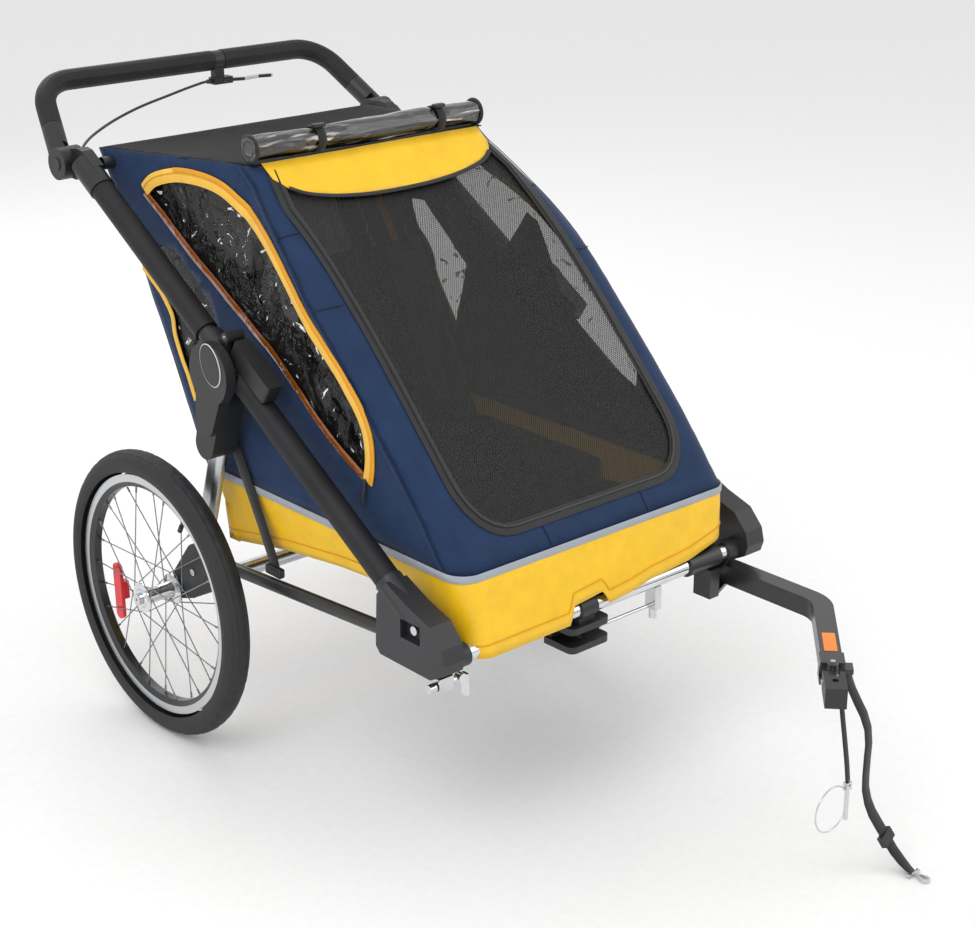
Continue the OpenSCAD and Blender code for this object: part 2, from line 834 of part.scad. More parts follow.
module fold_tongues() {
  place() color("#232427") pair() difference() {
    union() {
      on_tube() translate([0, 0, tube_end]) cylinder(r = collar_r, h = collar_end - tube_end);
      tube_plate(-8 + gap, 8 - gap) hinge_ear(1);
    }
    on_tube() translate([0, 0, tube_end - 1]) cylinder(r = tube_r + 0.05, h = collar_end);
    on_tube() translate([-30, -hinge_rise, 0]) rotate([0, 90, 0]) cylinder(d = pin_d + 2 * fit, h = 60);
    // Flat that passes the disc as the frame folds
    on_tube() translate([disc_x - tube_x - fit, -40, tube_end - 1]) cube([10, 80, collar_end - tube_end + 2]);
  }
}

// ---------- handlebar ----------

bar_half = bar_w / 2;
bar_bend = 70;
arm_x = hub_in + 10;
socket_len = 78;

// Direction of the left arm from its hub to the bend
arm_start = [arm_x, hub_y, hub_z];
arm_corner = [bar_half, bar_y, bar_z];
arm_dir = unit(arm_corner - arm_start);
arm_len = norm(arm_corner - arm_start);

// Puts the bar's plan (drawn in X-Y, corner at [bar_half, 0]) into its sloping plane
module in_bar_plane() {
  translate([0, bar_y, bar_z]) rotate([atan2(bar_z - hub_z, bar_y - hub_y), 0, 0]) children();
}

arm_run = norm([bar_y - hub_y, bar_z - hub_z]);
arm_skew = atan2(arm_x - bar_half, arm_run);

// Centre line of the bar in its own plane, from the left arm round to the right one; each arm
// stops short of its hub's axis by straight_end
function bar_plan(straight_end) =
  let (
    turn = 90 - arm_skew,
    inset = bar_bend * tan(turn / 2),
    reach = arm_run / cos(arm_skew) - straight_end,
    left = concat(
      [[bar_half + reach * sin(arm_skew), -reach * cos(arm_skew)]],
      [for (a = [-turn : turn / 10 : 0.01])
        [bar_half - inset + bar_bend * sin(-a), bar_bend * (cos(a) - 1)]]
    )
  )
  concat(left, [for (i = [len(left) - 1 : -1 : 0]) [-left[i][0], left[i][1]]]);

bar_slope = atan2(bar_z - hub_z, bar_y - hub_y);
bar_normal = [0, -sin(bar_slope), cos(bar_slope)];

function bar_route(straight_end) = [
  for (p = bar_plan(straight_end))
    [p[0], bar_y + p[1] * cos(bar_slope), bar_z + p[1] * sin(bar_slope)]
];

module bar_sweep(d, straight_end) sweep(bar_route(straight_end), bar_normal, d, d, 16);

socket_bore = 36;

module handlebar_tube() {
  place() color("#2c2d2f") difference() {
    bar_sweep(bar_tube_d, socket_bore);
    bar_sweep(bar_tube_d - 2 * tube_wall, socket_bore - 5);
  }
}

module handlebar_foam() {
  place() color("#262628") difference() {
    bar_sweep(bar_foam_d, socket_len + 1);
    bar_sweep(bar_tube_d + 0.1, socket_len - 5);
    // Room for the brake perch
    cross_bar(bar_y, bar_z, bar_foam_d + 10, perch_x - 11, perch_x + 11);
  }
}

module arm_socket() {
  in_bar_plane() translate([bar_half, 0, 0]) rotate([0, 0, arm_skew]) rotate([90, 0, 0])
    translate([0, 0, arm_run / cos(arm_skew) - socket_len]) children();
}

module handle_hubs() {
  place() color("#232427") pair() difference() {
    union() {
      cross_bar(hub_y, hub_z, hub_d, hub_in, hub_out);
      cross_bar(hub_y, hub_z, shaft_d, tube_x - 26, hub_in + 1);
      cross_bar(hub_y, hub_z, 34, tube_x - 26, tube_x - 15 - gap);
      arm_socket() cylinder(d = bar_foam_d, h = socket_len - hub_r - 7);
      // Neck from the hub to the socket, outside the frame's bracket
      intersection() {
        arm_socket() cylinder(d = bar_foam_d, h = socket_len - 6);
        translate([hub_in, hub_y, hub_z - 40]) cube([hub_out - hub_in, 90, 120]);
      }
    }
    arm_socket() translate([0, 0, -1]) cylinder(d = bar_tube_d + 0.4, h = socket_len - socket_bore + 1.1);
    cross_bar(hub_y, hub_z, button_d + 2 * fit, hub_out - 12, hub_out + 1);
  }
}

module hub_button(side) {
  place() one_side(side) color("#3a3b3e")
    cross_bar(hub_y, hub_z, button_d, hub_out - 12 + button_travel + gap, hub_out + 1.5);
}

perch_x = 66;
perch_r = 17;
lever_pivot = [perch_x + 14, bar_y - 6, bar_z - 34];

module brake_perch() {
  place() color("#232426") difference() {
    union() {
      cross_bar(bar_y, bar_z, 2 * perch_r, perch_x - 10, perch_x + 10);
      translate([perch_x - 14, bar_y - 16, bar_z - 42]) cube([40, 20, 12]);
      translate([perch_x - 10, bar_y - 12, bar_z - 32]) cube([20, 14, 20]);
      translate([perch_x - 14, bar_y - 6, bar_z - 36]) rotate([0, -90, 0]) cylinder(d = 8, h = 10);
    }
    cross_bar(bar_y, bar_z, bar_tube_d + 0.4, perch_x - 20, perch_x + 20);
    translate([lever_pivot[0], lever_pivot[1], bar_z - 50]) cylinder(d = 5 + 2 * fit, h = 30);
    translate([perch_x + 5, bar_y - 30, bar_z - 39.3]) cube([40, 50, 6.6]);
    translate([perch_x - 40, bar_y - 6, bar_z - 36]) rotate([0, 90, 0]) cylinder(d = 4.2, h = 22);
  }
}

module brake_lever() {
  y = lever_pivot[1];
  z = bar_z - 39;
  place() color("#c4c6c8") {
    translate([lever_pivot[0], y, bar_z - 41.7]) cylinder(d = 5, h = 11.4);
    translate([0, 0, z]) linear_extrude(6) difference() {
      union() {
        hull() {
          translate([lever_pivot[0], y]) circle(7);
          translate([perch_x + 46, y - 14]) circle(5);
        }
        hull() {
          translate([perch_x + 46, y - 14]) circle(5);
          translate([perch_x + 80, y - 10]) circle(4.5);
        }
        hull() {
          translate([perch_x + 80, y - 10]) circle(4.5);
          translate([perch_x + 104, y - 16]) circle(5.5);
        }
      }
      translate([lever_pivot[0], y]) circle(2.4);
    }
  }
}

// Brake cable, from the perch to the guide on the right-hand hub
cable_d = 5;
cable_route = [
  [42, 377, 1016], [30, 377, 1015], [12, 374, 1013], [-12, 370, 1010], [-38, 366, 1006],
  [-66, 361, 1002], [-96, 355, 998], [-126, 347, 994], [-156, 338, 989], [-184, 328, 984],
  [-210, 317, 979], [-234, 305, 974], [-256, 293, 969], [-274, 281, 964], [-288, 270, 959],
  [-296, 263, 955]
];

module brake_cable() {
  place() color("#2f3032") sweep(cable_route, [0, 1, 0.2], cable_d, cable_d, 8);
}

// ---------- fold release ----------

handle_len = 104;
handle_n = [24, 57];

module fold_handle(side) {
  place() one_side(side) color("#202124") on_tube() difference() {
    translate([-15, -handle_n[1], -18 - handle_len]) {
      hull() for (x = [6, 24], z = [6, handle_len - 6]) {
        translate([x, 0, z]) rotate([-90, 0, 0]) cylinder(r = 6, h = handle_n[1] - handle_n[0], $fn = 32);
      }
    }
    // Slot round the guide fin
    translate([-2 - gap, -49, -44.6]) cube([4 + 2 * gap, 60, 23.2]);
  }
}

// ---------- tow arm and hitch ----------

function turn_dir(a) = [-sin(a), -cos(a)];
// How far the straight lengths of the tow arm run into its bend
overlap = 0.2;
bend_inset = arm_bend_r * tan(arm_turn / 2);
arm_drop = pivot_y - bend_y;
tail_dir = turn_dir(arm_turn);
tail_end = [pivot_x, bend_y] + tail_dir * arm_tail;

module arm_plan(w) {
  translate([pivot_x - w / 2, bend_y + bend_inset - overlap]) square([w, arm_drop - bend_inset + overlap]);
  translate([pivot_x, pivot_y]) circle(d = w);
  translate([pivot_x - arm_bend_r, bend_y + bend_inset]) intersection() {
    difference() {
      circle(arm_bend_r + w / 2, $fn = 96);
      circle(arm_bend_r - w / 2, $fn = 96);
    }
    polygon([[0, 0], [200, 0], [200, -200 * tan(arm_turn)]]);
  }
  translate([pivot_x, bend_y]) rotate(-arm_turn) translate([-w / 2, -arm_tail])
    square([w, arm_tail - bend_inset + overlap]);
}

module at_arm_end() translate([tail_end[0], tail_end[1], arm_z]) rotate([0, 0, -arm_turn]) children();

module tow_arm() {
  sleeve_w = arm_w + 5;
  place() color("#303133") difference() {
    union() {
      difference() {
        translate([0, 0, arm_z - arm_w / 2]) linear_extrude(arm_w) arm_plan(arm_w);
        at_arm_end() translate([-30, yaw_y - 40, -40]) cube([60, 40, 80]);
      }
      // Moulded sleeve on the arm's end, with rounded cheeks round the upright pin
      at_arm_end() translate([-sleeve_w / 2, yaw_y, -sleeve_w / 2]) cube([sleeve_w, 36, sleeve_w]);
      at_arm_end() translate([0, yaw_y, -sleeve_w / 2]) cylinder(r = 9, h = sleeve_w);
      // Eye for the safety strap, on the sleeve's outer side
      at_arm_end() translate([arm_w / 2 + 2, 10, -4]) cube([14, 24, 8]);
    }
    translate([pivot_x, pivot_y, arm_z - 40]) cylinder(d = pin_d + 2 * fit, h = 80);
    at_arm_end() translate([-sleeve_w / 2 - 0.1, yaw_y - 12, -9.3]) cube([sleeve_w + 0.2, 24, 18.6]);
    at_arm_end() translate([0, yaw_y, -60]) cylinder(d = 8, h = 120);
  }
}

// Steel link between the arm and the hitch block: an upright pin and a level one
module hitch_link() {
  place() color("#c4c6c8") at_arm_end() {
    translate([0, yaw_y, -arm_w / 2 - 6]) cylinder(d = 8 - 2 * fit, h = arm_w + 12);
    translate([-7.8, pitch_y, -9]) cube([15.6, yaw_y - pitch_y, 18]);
    translate([0, yaw_y, -9]) cylinder(d = 15.6, h = 18);
    translate([-7.8, pitch_y, 0]) rotate([0, 90, 0]) cylinder(d = 18, h = 15.6);
    translate([-arm_w / 2 - 2, pitch_y, 0]) rotate([0, 90, 0]) cylinder(d = 8, h = arm_w + 4);
  }
}

module hitch_block() {
  place() color("#2a2b2d") at_arm_end() difference() {
    union() {
      translate([-arm_w / 2, block_front, -arm_w / 2]) cube([arm_w, pitch_y - block_front, arm_w]);
      translate([-arm_w / 2, pitch_y, 0]) rotate([0, 90, 0]) cylinder(d = arm_w, h = arm_w);
    }
    // Fork for the link
    translate([-8.1, pitch_y - 12, -arm_w]) cube([16.2, 40, 2 * arm_w]);
    translate([-arm_w, pitch_y, 0]) rotate([0, 90, 0]) cylinder(d = 8 + 2 * fit, h = 2 * arm_w);
    translate([0, pin_hole_y, -arm_w]) cylinder(d = hitch_hole_d, h = 2 * arm_w);
  }
}

// Safety strap, from the eye on the arm down to the ground
strap_route = [
  [168, -1042, 311.8], [167, -1046, 302], [168, -1052, 288], [170, -1062, 271], [174, -1072, 252],
  [176, -1080, 231], [174, -1085, 208], [169, -1088, 184], [166, -1090, 160], [166, -1091, 138],
  [169, -1095, 116], [175, -1100, 96], [186, -1106, 74], [197, -1113, 51], [204, -1124, 30],
  [208, -1137, 16], [209, -1149, 8], [209, -1158.8, 4.6]
];
strap_side = [1, 0.15, 0.1];

module safety_strap() {
  place() color("#1a1a1c") sweep(strap_route, strap_side, strap_w, strap_t, 8);
}

// Puts children on a route: local Z along it, local X across its width
module on_route(route, i, side) {
  t = heading(route, i);
  x = across(t, side);
  y = cross(t, x);
  p = route[i];
  multmatrix([
    [x[0], y[0], t[0], p[0]], [x[1], y[1], t[1], p[1]], [x[2], y[2], t[2], p[2]], [0, 0, 0, 1]
  ]) children();
}

module strap_slider() {
  place() color("#1d1d1f") on_route(strap_route, 13, strap_side) difference() {
    translate([-15, -4.5, -9]) cube([30, 9, 18]);
    translate([-strap_w / 2 - 1, -2.6, -12]) cube([strap_w + 2, 5.2, 24]);
  }
}

module snap_hook() {
  place() color("#c8cacc") translate([209, -1157, 3.8]) {
    difference() {
      translate([-13, -5, -3]) cube([26, 6, 6]);
      translate([-10.5, -2.5, -4]) cube([21, 10, 8]);
    }
    translate([0, -4, 0]) rotate([90, 0, 0]) cylinder(d = 6, h = 10);
    translate([0, -24, -2.5]) linear_extrude(5) difference() {
      hull() {
        circle(7);
        translate([0, 8]) circle(5);
      }
      hull() {
        circle(4);
        translate([0, 8]) circle(2.5);
      }
    }
  }
}

lanyard_route = [
  [98, -1088, 300.5], [98, -1089, 292], [98, -1092, 276], [99, -1095, 256], [101, -1097, 236],
  [103, -1099, 216], [105, -1100, 200], [107, -1100, 187], [109, -1100, 176]
];

module pin_lanyard() {
  place() color("#1a1a1c") sweep(lanyard_route, [1, 0, 0], 10, 2.5, 8);
}

module lock_pin() {
  place() color("#c8cacc") translate([109, -1100, 0]) {
    translate([0, 0, 112]) cylinder(d = 7, h = 56);
    difference() {
      translate([-6, -4, 162]) cube([12, 8, 13]);
      translate([0, 10, 170]) rotate([90, 0, 0]) cylinder(d = 4, h = 20);
    }
    // Sprung wire keeper
    translate([-35, 0, 142]) rotate([90, 0, 0]) rotate([0, 0, 25])
      rotate_extrude(angle = 310) translate([36, 0]) circle(1.2, $fn = 16);
  }
}

// Cam levers of the quick-release skewers
module skewer_lever_right() {
  place() one_side(-1) color("#b9bbbd") {
    translate([288, skewer_y, skewer_z]) rotate([90, 0, 0]) translate([0, 0, -6]) cylinder(d = 15, h = 12);
    side_plate(276, 281) translate([skewer_y - 6, skewer_z - 32]) square([12, 36]);
  }
}

module skewer_lever_left() {
  place() color("#b9bbbd") {
    translate([bracket_x1 + 24, -655, 356]) rotate([90, 0, 0]) translate([0, 0, -6]) cylinder(d = 15, h = 12);
    side_plate(bracket_x1 + 30, bracket_x1 + 34.5) translate([-661, 322]) square([12, 38]);
  }
}

rear_cross_tube();
axle_knuckles();
leg_tubes();
leg_housings();
lower_tubes();
lower_grips();
front_brackets();
frame_bolts();
front_cross_tube();
side_rails();
centre_bracket();
tow_socket();
lower_tub();
seat_base();
seat_back();
harness();
side_straps();
side_panels();
side_windows();
front_panel();
mesh_window();
top_panel();
rear_panel();
rain_cover_roll();
axles_and_skewers();
upper_tubes();
upper_grips();
rear_top_bar();
handle_brackets();
fold_tongues();
handlebar_tube();
handlebar_foam();
handle_hubs();
brake_perch();
brake_cable();
brake_lever();
hub_button(-1);  // hub_button_right
hub_button(1);  // hub_button_left
fold_handle(-1);  // fold_handle_right
fold_handle(1);  // fold_handle_left
tow_arm();
hitch_link();
hitch_block();
safety_strap();
strap_slider();
snap_hook();
pin_lanyard();
lock_pin();
skewer_lever_right();
skewer_lever_left();
tyre(-1);  // tyre_right
rim(-1);  // rim_right
spokes(-1);  // spokes_right
hub(-1);  // hub_right
reflector(-1);  // reflector_right
tyre(1);  // tyre_left
rim(1);  // rim_left
spokes(1);  // spokes_left
hub(1);  // hub_left
reflector(1);  // reflector_left
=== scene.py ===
"""Looks for a folding child bicycle trailer, built round its framed parts."""

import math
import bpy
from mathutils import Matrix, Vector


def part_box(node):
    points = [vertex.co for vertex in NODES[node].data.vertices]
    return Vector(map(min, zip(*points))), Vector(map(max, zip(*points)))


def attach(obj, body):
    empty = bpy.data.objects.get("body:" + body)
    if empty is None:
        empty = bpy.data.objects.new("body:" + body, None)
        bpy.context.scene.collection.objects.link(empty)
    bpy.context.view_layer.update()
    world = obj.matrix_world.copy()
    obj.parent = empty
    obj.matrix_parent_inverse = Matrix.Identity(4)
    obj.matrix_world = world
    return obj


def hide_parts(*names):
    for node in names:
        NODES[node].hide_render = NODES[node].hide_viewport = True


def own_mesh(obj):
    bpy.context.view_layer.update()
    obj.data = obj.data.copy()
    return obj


bl_info = {
    "name": "Folding Child Trailer",
    "version": (1, 0, 0),
    "blender": (4, 5, 0),
    "location": "View3D > Sidebar > Trailer",
    "description": "Fabric cabin, windows, straps, tyres and finishes for a child bicycle trailer",
    "category": "Object",
}

import bpy
from mathutils import Matrix, Vector, geometry, noise

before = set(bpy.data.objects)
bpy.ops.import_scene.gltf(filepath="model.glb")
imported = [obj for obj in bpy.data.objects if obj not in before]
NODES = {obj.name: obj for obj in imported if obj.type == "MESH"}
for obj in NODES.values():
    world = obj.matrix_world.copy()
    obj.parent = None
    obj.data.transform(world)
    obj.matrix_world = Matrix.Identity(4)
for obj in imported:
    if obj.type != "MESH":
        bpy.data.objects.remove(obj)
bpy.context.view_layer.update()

# Distance of the wheel axle behind the frame's origin, metres
AXLE = 0.350
# Height of the reflective strip, where the navy cloth meets the yellow band
STRIP_Z = 0.478
# Side view of the nose: height, then distance ahead of the axle
NOSE = ((0.478, -0.692), (0.590, -0.600), (0.844, -0.345), (0.988, -0.150))
TAIL = ((0.478, -0.056), (0.965, 0.222))
# How much narrower the cabin is at the roll, by distance along the trailer
TAPER = ((-0.700, 0.0), (-0.345, 0.10), (-0.150, 1.0), (0.222, 0.04))
# Radius of the rounded edges between the nose and the sides
CORNER_R = 0.038


# The seat's back leans with the rear cloth: where it stands, the way up it and the way behind it
SEAT_LEAN = math.atan2(0.216, 0.4214)
SEAT_FOOT = Vector((0, -0.118 + AXLE, 0.4586))
SEAT_UP = Vector((0, math.sin(SEAT_LEAN), math.cos(SEAT_LEAN)))
SEAT_BEHIND = Vector((0, math.cos(SEAT_LEAN), -math.sin(SEAT_LEAN)))
SIDES = ((-1, "right"), (1, "left"))
# Ways that sheets face
FORWARD_UP = (0, -1, 1)
REARWARD = (0, 1, -0.5)


# ---------- shape of the cabin ----------


def between(table, at):
    """Straight-line reading of a table of (where, value)."""
    if at <= table[0][0]:
        return table[0][1]
    for (x0, y0), (x1, y1) in zip(table, table[1:]):
        if at <= x1:
            return y0 + (y1 - y0) * (at - x0) / (x1 - x0)
    return table[-1][1]


def smooth(table, at):
    """Smooth reading of a table of (where, value)."""
    n = len(table)
    slope = []
    for i in range(n):
        a, b = table[max(i - 1, 0)], table[min(i + 1, n - 1)]
        slope.append((b[1] - a[1]) / (b[0] - a[0]))
    if at <= table[0][0]:
        return table[0][1] + slope[0] * (at - table[0][0])
    if at >= table[-1][0]:
        return table[-1][1] + slope[-1] * (at - table[-1][0])
    i = max(k for k in range(n - 1) if table[k][0] <= at)
    h = table[i + 1][0] - table[i][0]
    t = (at - table[i][0]) / h
    return (
        (2 * t**3 - 3 * t * t + 1) * table[i][1]
        + (t**3 - 2 * t * t + t) * h * slope[i]
        + (3 * t * t - 2 * t**3) * table[i + 1][1]
        + (t**3 - t * t) * h * slope[i + 1]
    )


def nose_y(z):
    return smooth(NOSE, z)


def half_width(y, z):
    """Half of the cabin's width at a place in its side view."""
    rise = max(0.0, min(1.0, (z - STRIP_Z) / 0.51)) ** 1.5
    return 0.288 - 0.048 * rise * between(TAPER, y)


def ripple(p, size, seed):
    """Gentle unevenness of cloth, from -1 to 1, with lumps about size across."""
    return noise.noise(Vector((p[0] / size + seed, p[1] / size - seed, p[2] / size)))


def on_side(side, inset=0.0, rough=0.0016):
    """Lays a flat point (along, up) on the cabin's right (-1) or left (1) side."""

    def place(y, z):
        x = half_width(y, z) - inset
        x += rough * ripple((y, z, side), 0.11, 3.0) + 0.6 * rough * ripple((y, z, side), 0.04, 9.0)
        return Vector((side * x, y + AXLE, z))

    return place


def front_sag(w, z):
    """How far the front window sinks between its edges."""
    a = max(0.0, 1 - (w / 0.225) ** 2)
    b = max(0.0, 1 - ((z - 0.745) / 0.24) ** 2)
    return 0.016 * a * b


def on_front(rough=0.0014, lift=0.0):
    """Lays a flat point (across, up) on the nose; across is measured round the rounded edges."""

    def place(w, z):
        y0 = nose_y(z)
        flat = half_width(y0 + CORNER_R, z) - CORNER_R
        side = 1 if w > 0 else -1
        if abs(w) <= flat:
            x, back, turn = w, 0.0, 0.0
        else:
            turn = min((abs(w) - flat) / CORNER_R, math.pi / 2)
            x = side * (flat + CORNER_R * math.sin(turn))
            back = CORNER_R * (1 - math.cos(turn))
        up = (nose_y(z + 0.01) - nose_y(z - 0.01)) / 0.02
        face = Vector((0, -1, up)).normalized()
        out = face * math.cos(turn) + Vector((side, 0, 0)) * math.sin(turn)
        amount = rough * ripple((w, z, 5.0), 0.12, 1.0) + 0.5 * rough * ripple((w, z, 5.0), 0.045, 4.0)
        return Vector((x, y0 + back + AXLE, z)) + out * (amount + lift - front_sag(w, z))

    return place


def edge_w(z):
    """Distance round the nose from the middle to where the side begins, at a height."""
    return half_width(nose_y(z) + CORNER_R, z) - CORNER_R + CORNER_R * math.pi / 2


# ---------- mesh tools ----------


def link(name, verts, faces, look, body="chassis", uvs=None, smooth_angle=None):
    """Makes an object of points and faces, in its look, riding on a body."""
    mesh = bpy.data.meshes.new(name)
    mesh.from_pydata([tuple(v) for v in verts], [], faces)
    mesh.validate()
    if uvs is not None:
        layer = mesh.uv_layers.new(name="cloth")
        for loop in mesh.loops:
            layer.data[loop.index].uv = uvs[loop.vertex_index]
    piece = bpy.data.objects.new(name, mesh)
    bpy.context.scene.collection.objects.link(piece)
    mesh.materials.append(LOOKS[look])
    for polygon in mesh.polygons:
        polygon.use_smooth = True
    if smooth_angle is not None:
        choose(piece)
        bpy.ops.object.shade_smooth_by_angle(angle=math.radians(smooth_angle))
    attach(piece, body)
    return piece


def choose(piece):
    """Makes a piece the only one selected, and active."""
    bpy.ops.object.select_all(action="DESELECT")
    piece.select_set(True)
    bpy.context.view_layer.objects.active = piece


def apply_modifier(piece, kind, **settings):
    choose(piece)
    modifier = piece.modifiers.new(kind.lower(), kind)
    for key, value in settings.items():
        setattr(modifier, key, value)
    bpy.ops.object.modifier_apply(modifier=modifier.name)


def even(loop, pitch, closed=True):
    """Points at even steps along a flat outline, keeping its corners."""
    out = []
    last = len(loop) if closed else len(loop) - 1
    for i in range(last):
        a, b = Vector(loop[i]), Vector(loop[(i + 1) % len(loop)])
        steps = max(1, round((b - a).length / pitch))
        out += [a.lerp(b, k / steps) for k in range(steps)]
    if not closed:
        out.append(Vector(loop[-1]))
    return out


def curve_through(points, steps=8, closed=False):
    """Smooth line through points in two or three dimensions."""
    pts = [Vector(p) for p in points]
    n = len(pts)
    out = []
    last = n if closed else n - 1
    for i in range(last):
        if closed:
            p0, p1, p2, p3 = (pts[(i + k) % n] for k in (-1, 0, 1, 2))
        else:
            p0, p1, p2, p3 = (pts[min(max(i + k, 0), n - 1)] for k in (-1, 0, 1, 2))
        for s in range(steps):
            t = s / steps
            out.append(
                0.5
                * (
                    2 * p1
                    + (p2 - p0) * t
                    + (2 * p0 - 5 * p1 + 4 * p2 - p3) * t * t
                    + (3 * p1 - p0 - 3 * p2 + p3) * t**3
                )
            )
    if not closed:
        out.append(pts[-1])
    return out


def pairs(points):
    """Flat points as plain (first, second) pairs."""
    return [(p[0], p[1]) for p in points]


def flat_curve(points, steps, closed=False):
    return pairs(curve_through(points, steps, closed))


def inside(point, loop):
    """Whether a flat point is within a closed outline."""
    x, y = point[0], point[1]
    hit = False
    j = len(loop) - 1
    for i in range(len(loop)):
        xi, yi = loop[i][0], loop[i][1]
        xj, yj = loop[j][0], loop[j][1]
        if (yi > y) != (yj > y) and x < (xj - xi) * (y - yi) / (yj - yi) + xi:
            hit = not hit
        j = i
    return hit


def cut_cloth(name, outline, holes, pitch, place, look, thick=0.0016, outward=None):
    """A sheet cut to an outline with holes, filled with even triangles and laid in space."""
    loops = [even(outline, pitch)] + [even(h, pitch) for h in holes]
    flat, edges = [], []
    for loop in loops:
        first = len(flat)
        flat += loop
        edges += [(first + k, first + (k + 1) % len(loop)) for k in range(len(loop))]
    low = (min(p[0] for p in loops[0]), min(p[1] for p in loops[0]))
    high = (max(p[0] for p in loops[0]), max(p[1] for p in loops[0]))
    row = 0
    rim = list(flat)
    v = low[1] + pitch / 2
    while v < high[1]:
        u = low[0] + (pitch / 2 if row % 2 else pitch)
        while u < high[0]:
            p = Vector((u, v))
            if inside(p, loops[0]) and not any(inside(p, h) for h in loops[1:]):
                if min((p - q).length_squared for q in rim) > (0.6 * pitch) ** 2:
                    flat.append(p)
            u += pitch
        v += pitch * 0.87
        row += 1
    out = geometry.delaunay_2d_cdt(flat, edges, [], 1, 1e-7)
    points, faces = out[0], out[2]
    kept = []
    for f in faces:
        middle = sum((points[i] for i in f), Vector((0, 0))) / len(f)
        if inside(middle, loops[0]) and not any(inside(middle, h) for h in loops[1:]):
            kept.append(tuple(f))
    verts = [place(p[0], p[1]) for p in points]
    piece = link(name, verts, kept, look, uvs=pairs(points))
    face_outwards(piece, outward)
    if thick:
        apply_modifier(piece, "SOLIDIFY", thickness=thick, offset=-1.0)
    return piece


def face_outwards(piece, outward):
    """Turns a sheet over if its faces look inwards."""
    if outward is None:
        return
    total = Vector((0, 0, 0))
    for polygon in piece.data.polygons:
        total += polygon.normal * polygon.area
    if total.dot(Vector(outward)) < 0:
        piece.data.flip_normals()


def frames_along(path, up, closed=False):
    """Sideways and up at each point of a path; up is one vector or one for each point."""
    out = []
    n = len(path)
    for i in range(n):
        if closed:
            after, before = path[(i + 1) % n], path[i - 1]
        else:
            after, before = path[min(i + 1, n - 1)], path[max(i - 1, 0)]
        heading = (after - before).normalized()
        rise = Vector(up[i]) if isinstance(up, list) else Vector(up)
        rise = (rise - heading * rise.dot(heading)).normalized()
        out.append((heading.cross(rise).normalized(), rise))
    return out


def sweep(name, path, section, up, look, body="chassis", closed=False, smooth_angle=35):
    """Carries a closed section, drawn as (sideways, up), along a path."""
    path = [Vector(p) for p in path]
    verts, uvs, faces = [], [], []
    run = 0.0
    for i, (p, (sideways, rise)) in enumerate(zip(path, frames_along(path, up, closed))):
        if i:
            run += (p - path[i - 1]).length
        for a, b in section:
            verts.append(p + sideways * a + rise * b)
            uvs.append((run, a))
    m, count = len(section), len(path)
    for i in range(count if closed else count - 1):
        j = (i + 1) % count
        for k in range(m):
            faces.append((i * m + k, j * m + k, j * m + (k + 1) % m, i * m + (k + 1) % m))
    if not closed:
        faces.append(tuple(range(m)))
        faces.append(tuple(range(count * m - 1, (count - 1) * m - 1, -1)))
    piece = link(name, verts, faces, look, body, uvs=uvs, smooth_angle=smooth_angle)
    turn_out(piece)
    return piece


def open_mesh_edit(select=None):
    bpy.ops.object.mode_set(mode="EDIT")
    if select:
        bpy.ops.mesh.select_all(action=select)


def close_mesh_edit():
    bpy.ops.object.mode_set(mode="OBJECT")


def turn_out(piece):
    """Makes a closed shell's faces point outwards."""
    choose(piece)
    open_mesh_edit("SELECT")
    bpy.ops.mesh.normals_make_consistent(inside=False)
    close_mesh_edit()


def strap_section(width, thick):
    """Section of flat webbing with rounded edges."""
    w, t = width / 2, thick / 2
    below = [(-w, -0.4 * t), (-w + t, -t), (w - t, -t), (w, -0.4 * t)]
    return below + [(a, -b) for a, b in reversed(below)]


def round_section(radius, sides=10):
    return [
        (radius * math.cos(2 * math.pi * k / sides), radius * math.sin(2 * math.pi * k / sides))
        for k in range(sides)
    ]


def surface_normals(path, place_at, step=0.004):
    """Normals of a laid sheet at flat points."""
    out = []
    for u, v in path:
        a = place_at(u + step, v) - place_at(u - step, v)
        b = place_at(u, v + step) - place_at(u, v - step)
        out.append(a.cross(b).normalized())
    return out


def lay_tape(name, flat, place, width, thick, lift, look, outward, closed=False):
    """A flat tape sewn along a line on a sheet."""
    normals = surface_normals(flat, place)
    if sum((n.dot(Vector(outward)) for n in normals)) < 0:
        normals = [-n for n in normals]
    path = [place(u, v) + n * lift for (u, v), n in zip(flat, normals)]
    return sweep(name, path, strap_section(width, thick), normals, look, closed=closed)


def primitive_piece(name, look, body="chassis", smooth_angle=30):
    """Finishes the active primitive: places it in its mesh, names it and gives it its look."""
    piece = bpy.context.active_object
    choose(piece)
    bpy.ops.object.transform_apply(location=True, rotation=True, scale=True)
    piece.name = name
    piece.data.name = name
    paint(piece, look)
    bpy.ops.object.shade_smooth_by_angle(angle=math.radians(smooth_angle))
    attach(piece, body)
    return piece


def rounded(corners, radius, steps=6):
    """A flat outline with its corners rounded."""
    out = []
    n = len(corners)
    for i in range(n):
        a, b, c = Vector(corners[i - 1]), Vector(corners[i]), Vector(corners[(i + 1) % n])
        u, v = (a - b).normalized(), (c - b).normalized()
        p, q = b + u * radius, b + v * radius
        for k in range(steps + 1):
            t = k / steps
            out.append(p * (1 - t) ** 2 + b * 2 * t * (1 - t) + q * t * t)
    return out


def beside(path, offset):
    """A flat line beside another, offset to its left as it runs."""
    out = []
    for i, p in enumerate(path):
        a, b = Vector(path[max(i - 1, 0)]), Vector(path[min(i + 1, len(path) - 1)])
        d = (b - a).normalized()
        out.append((p[0] + d.y * offset, p[1] - d.x * offset))
    return out


def round_in(value):
    """Pushes a share towards -1, 0 or 1, so that flat walls get square normals."""
    return value**5 if abs(value) < 1 else value


def steps_round(count):
    return [2 * math.pi * k / count for k in range(count)]


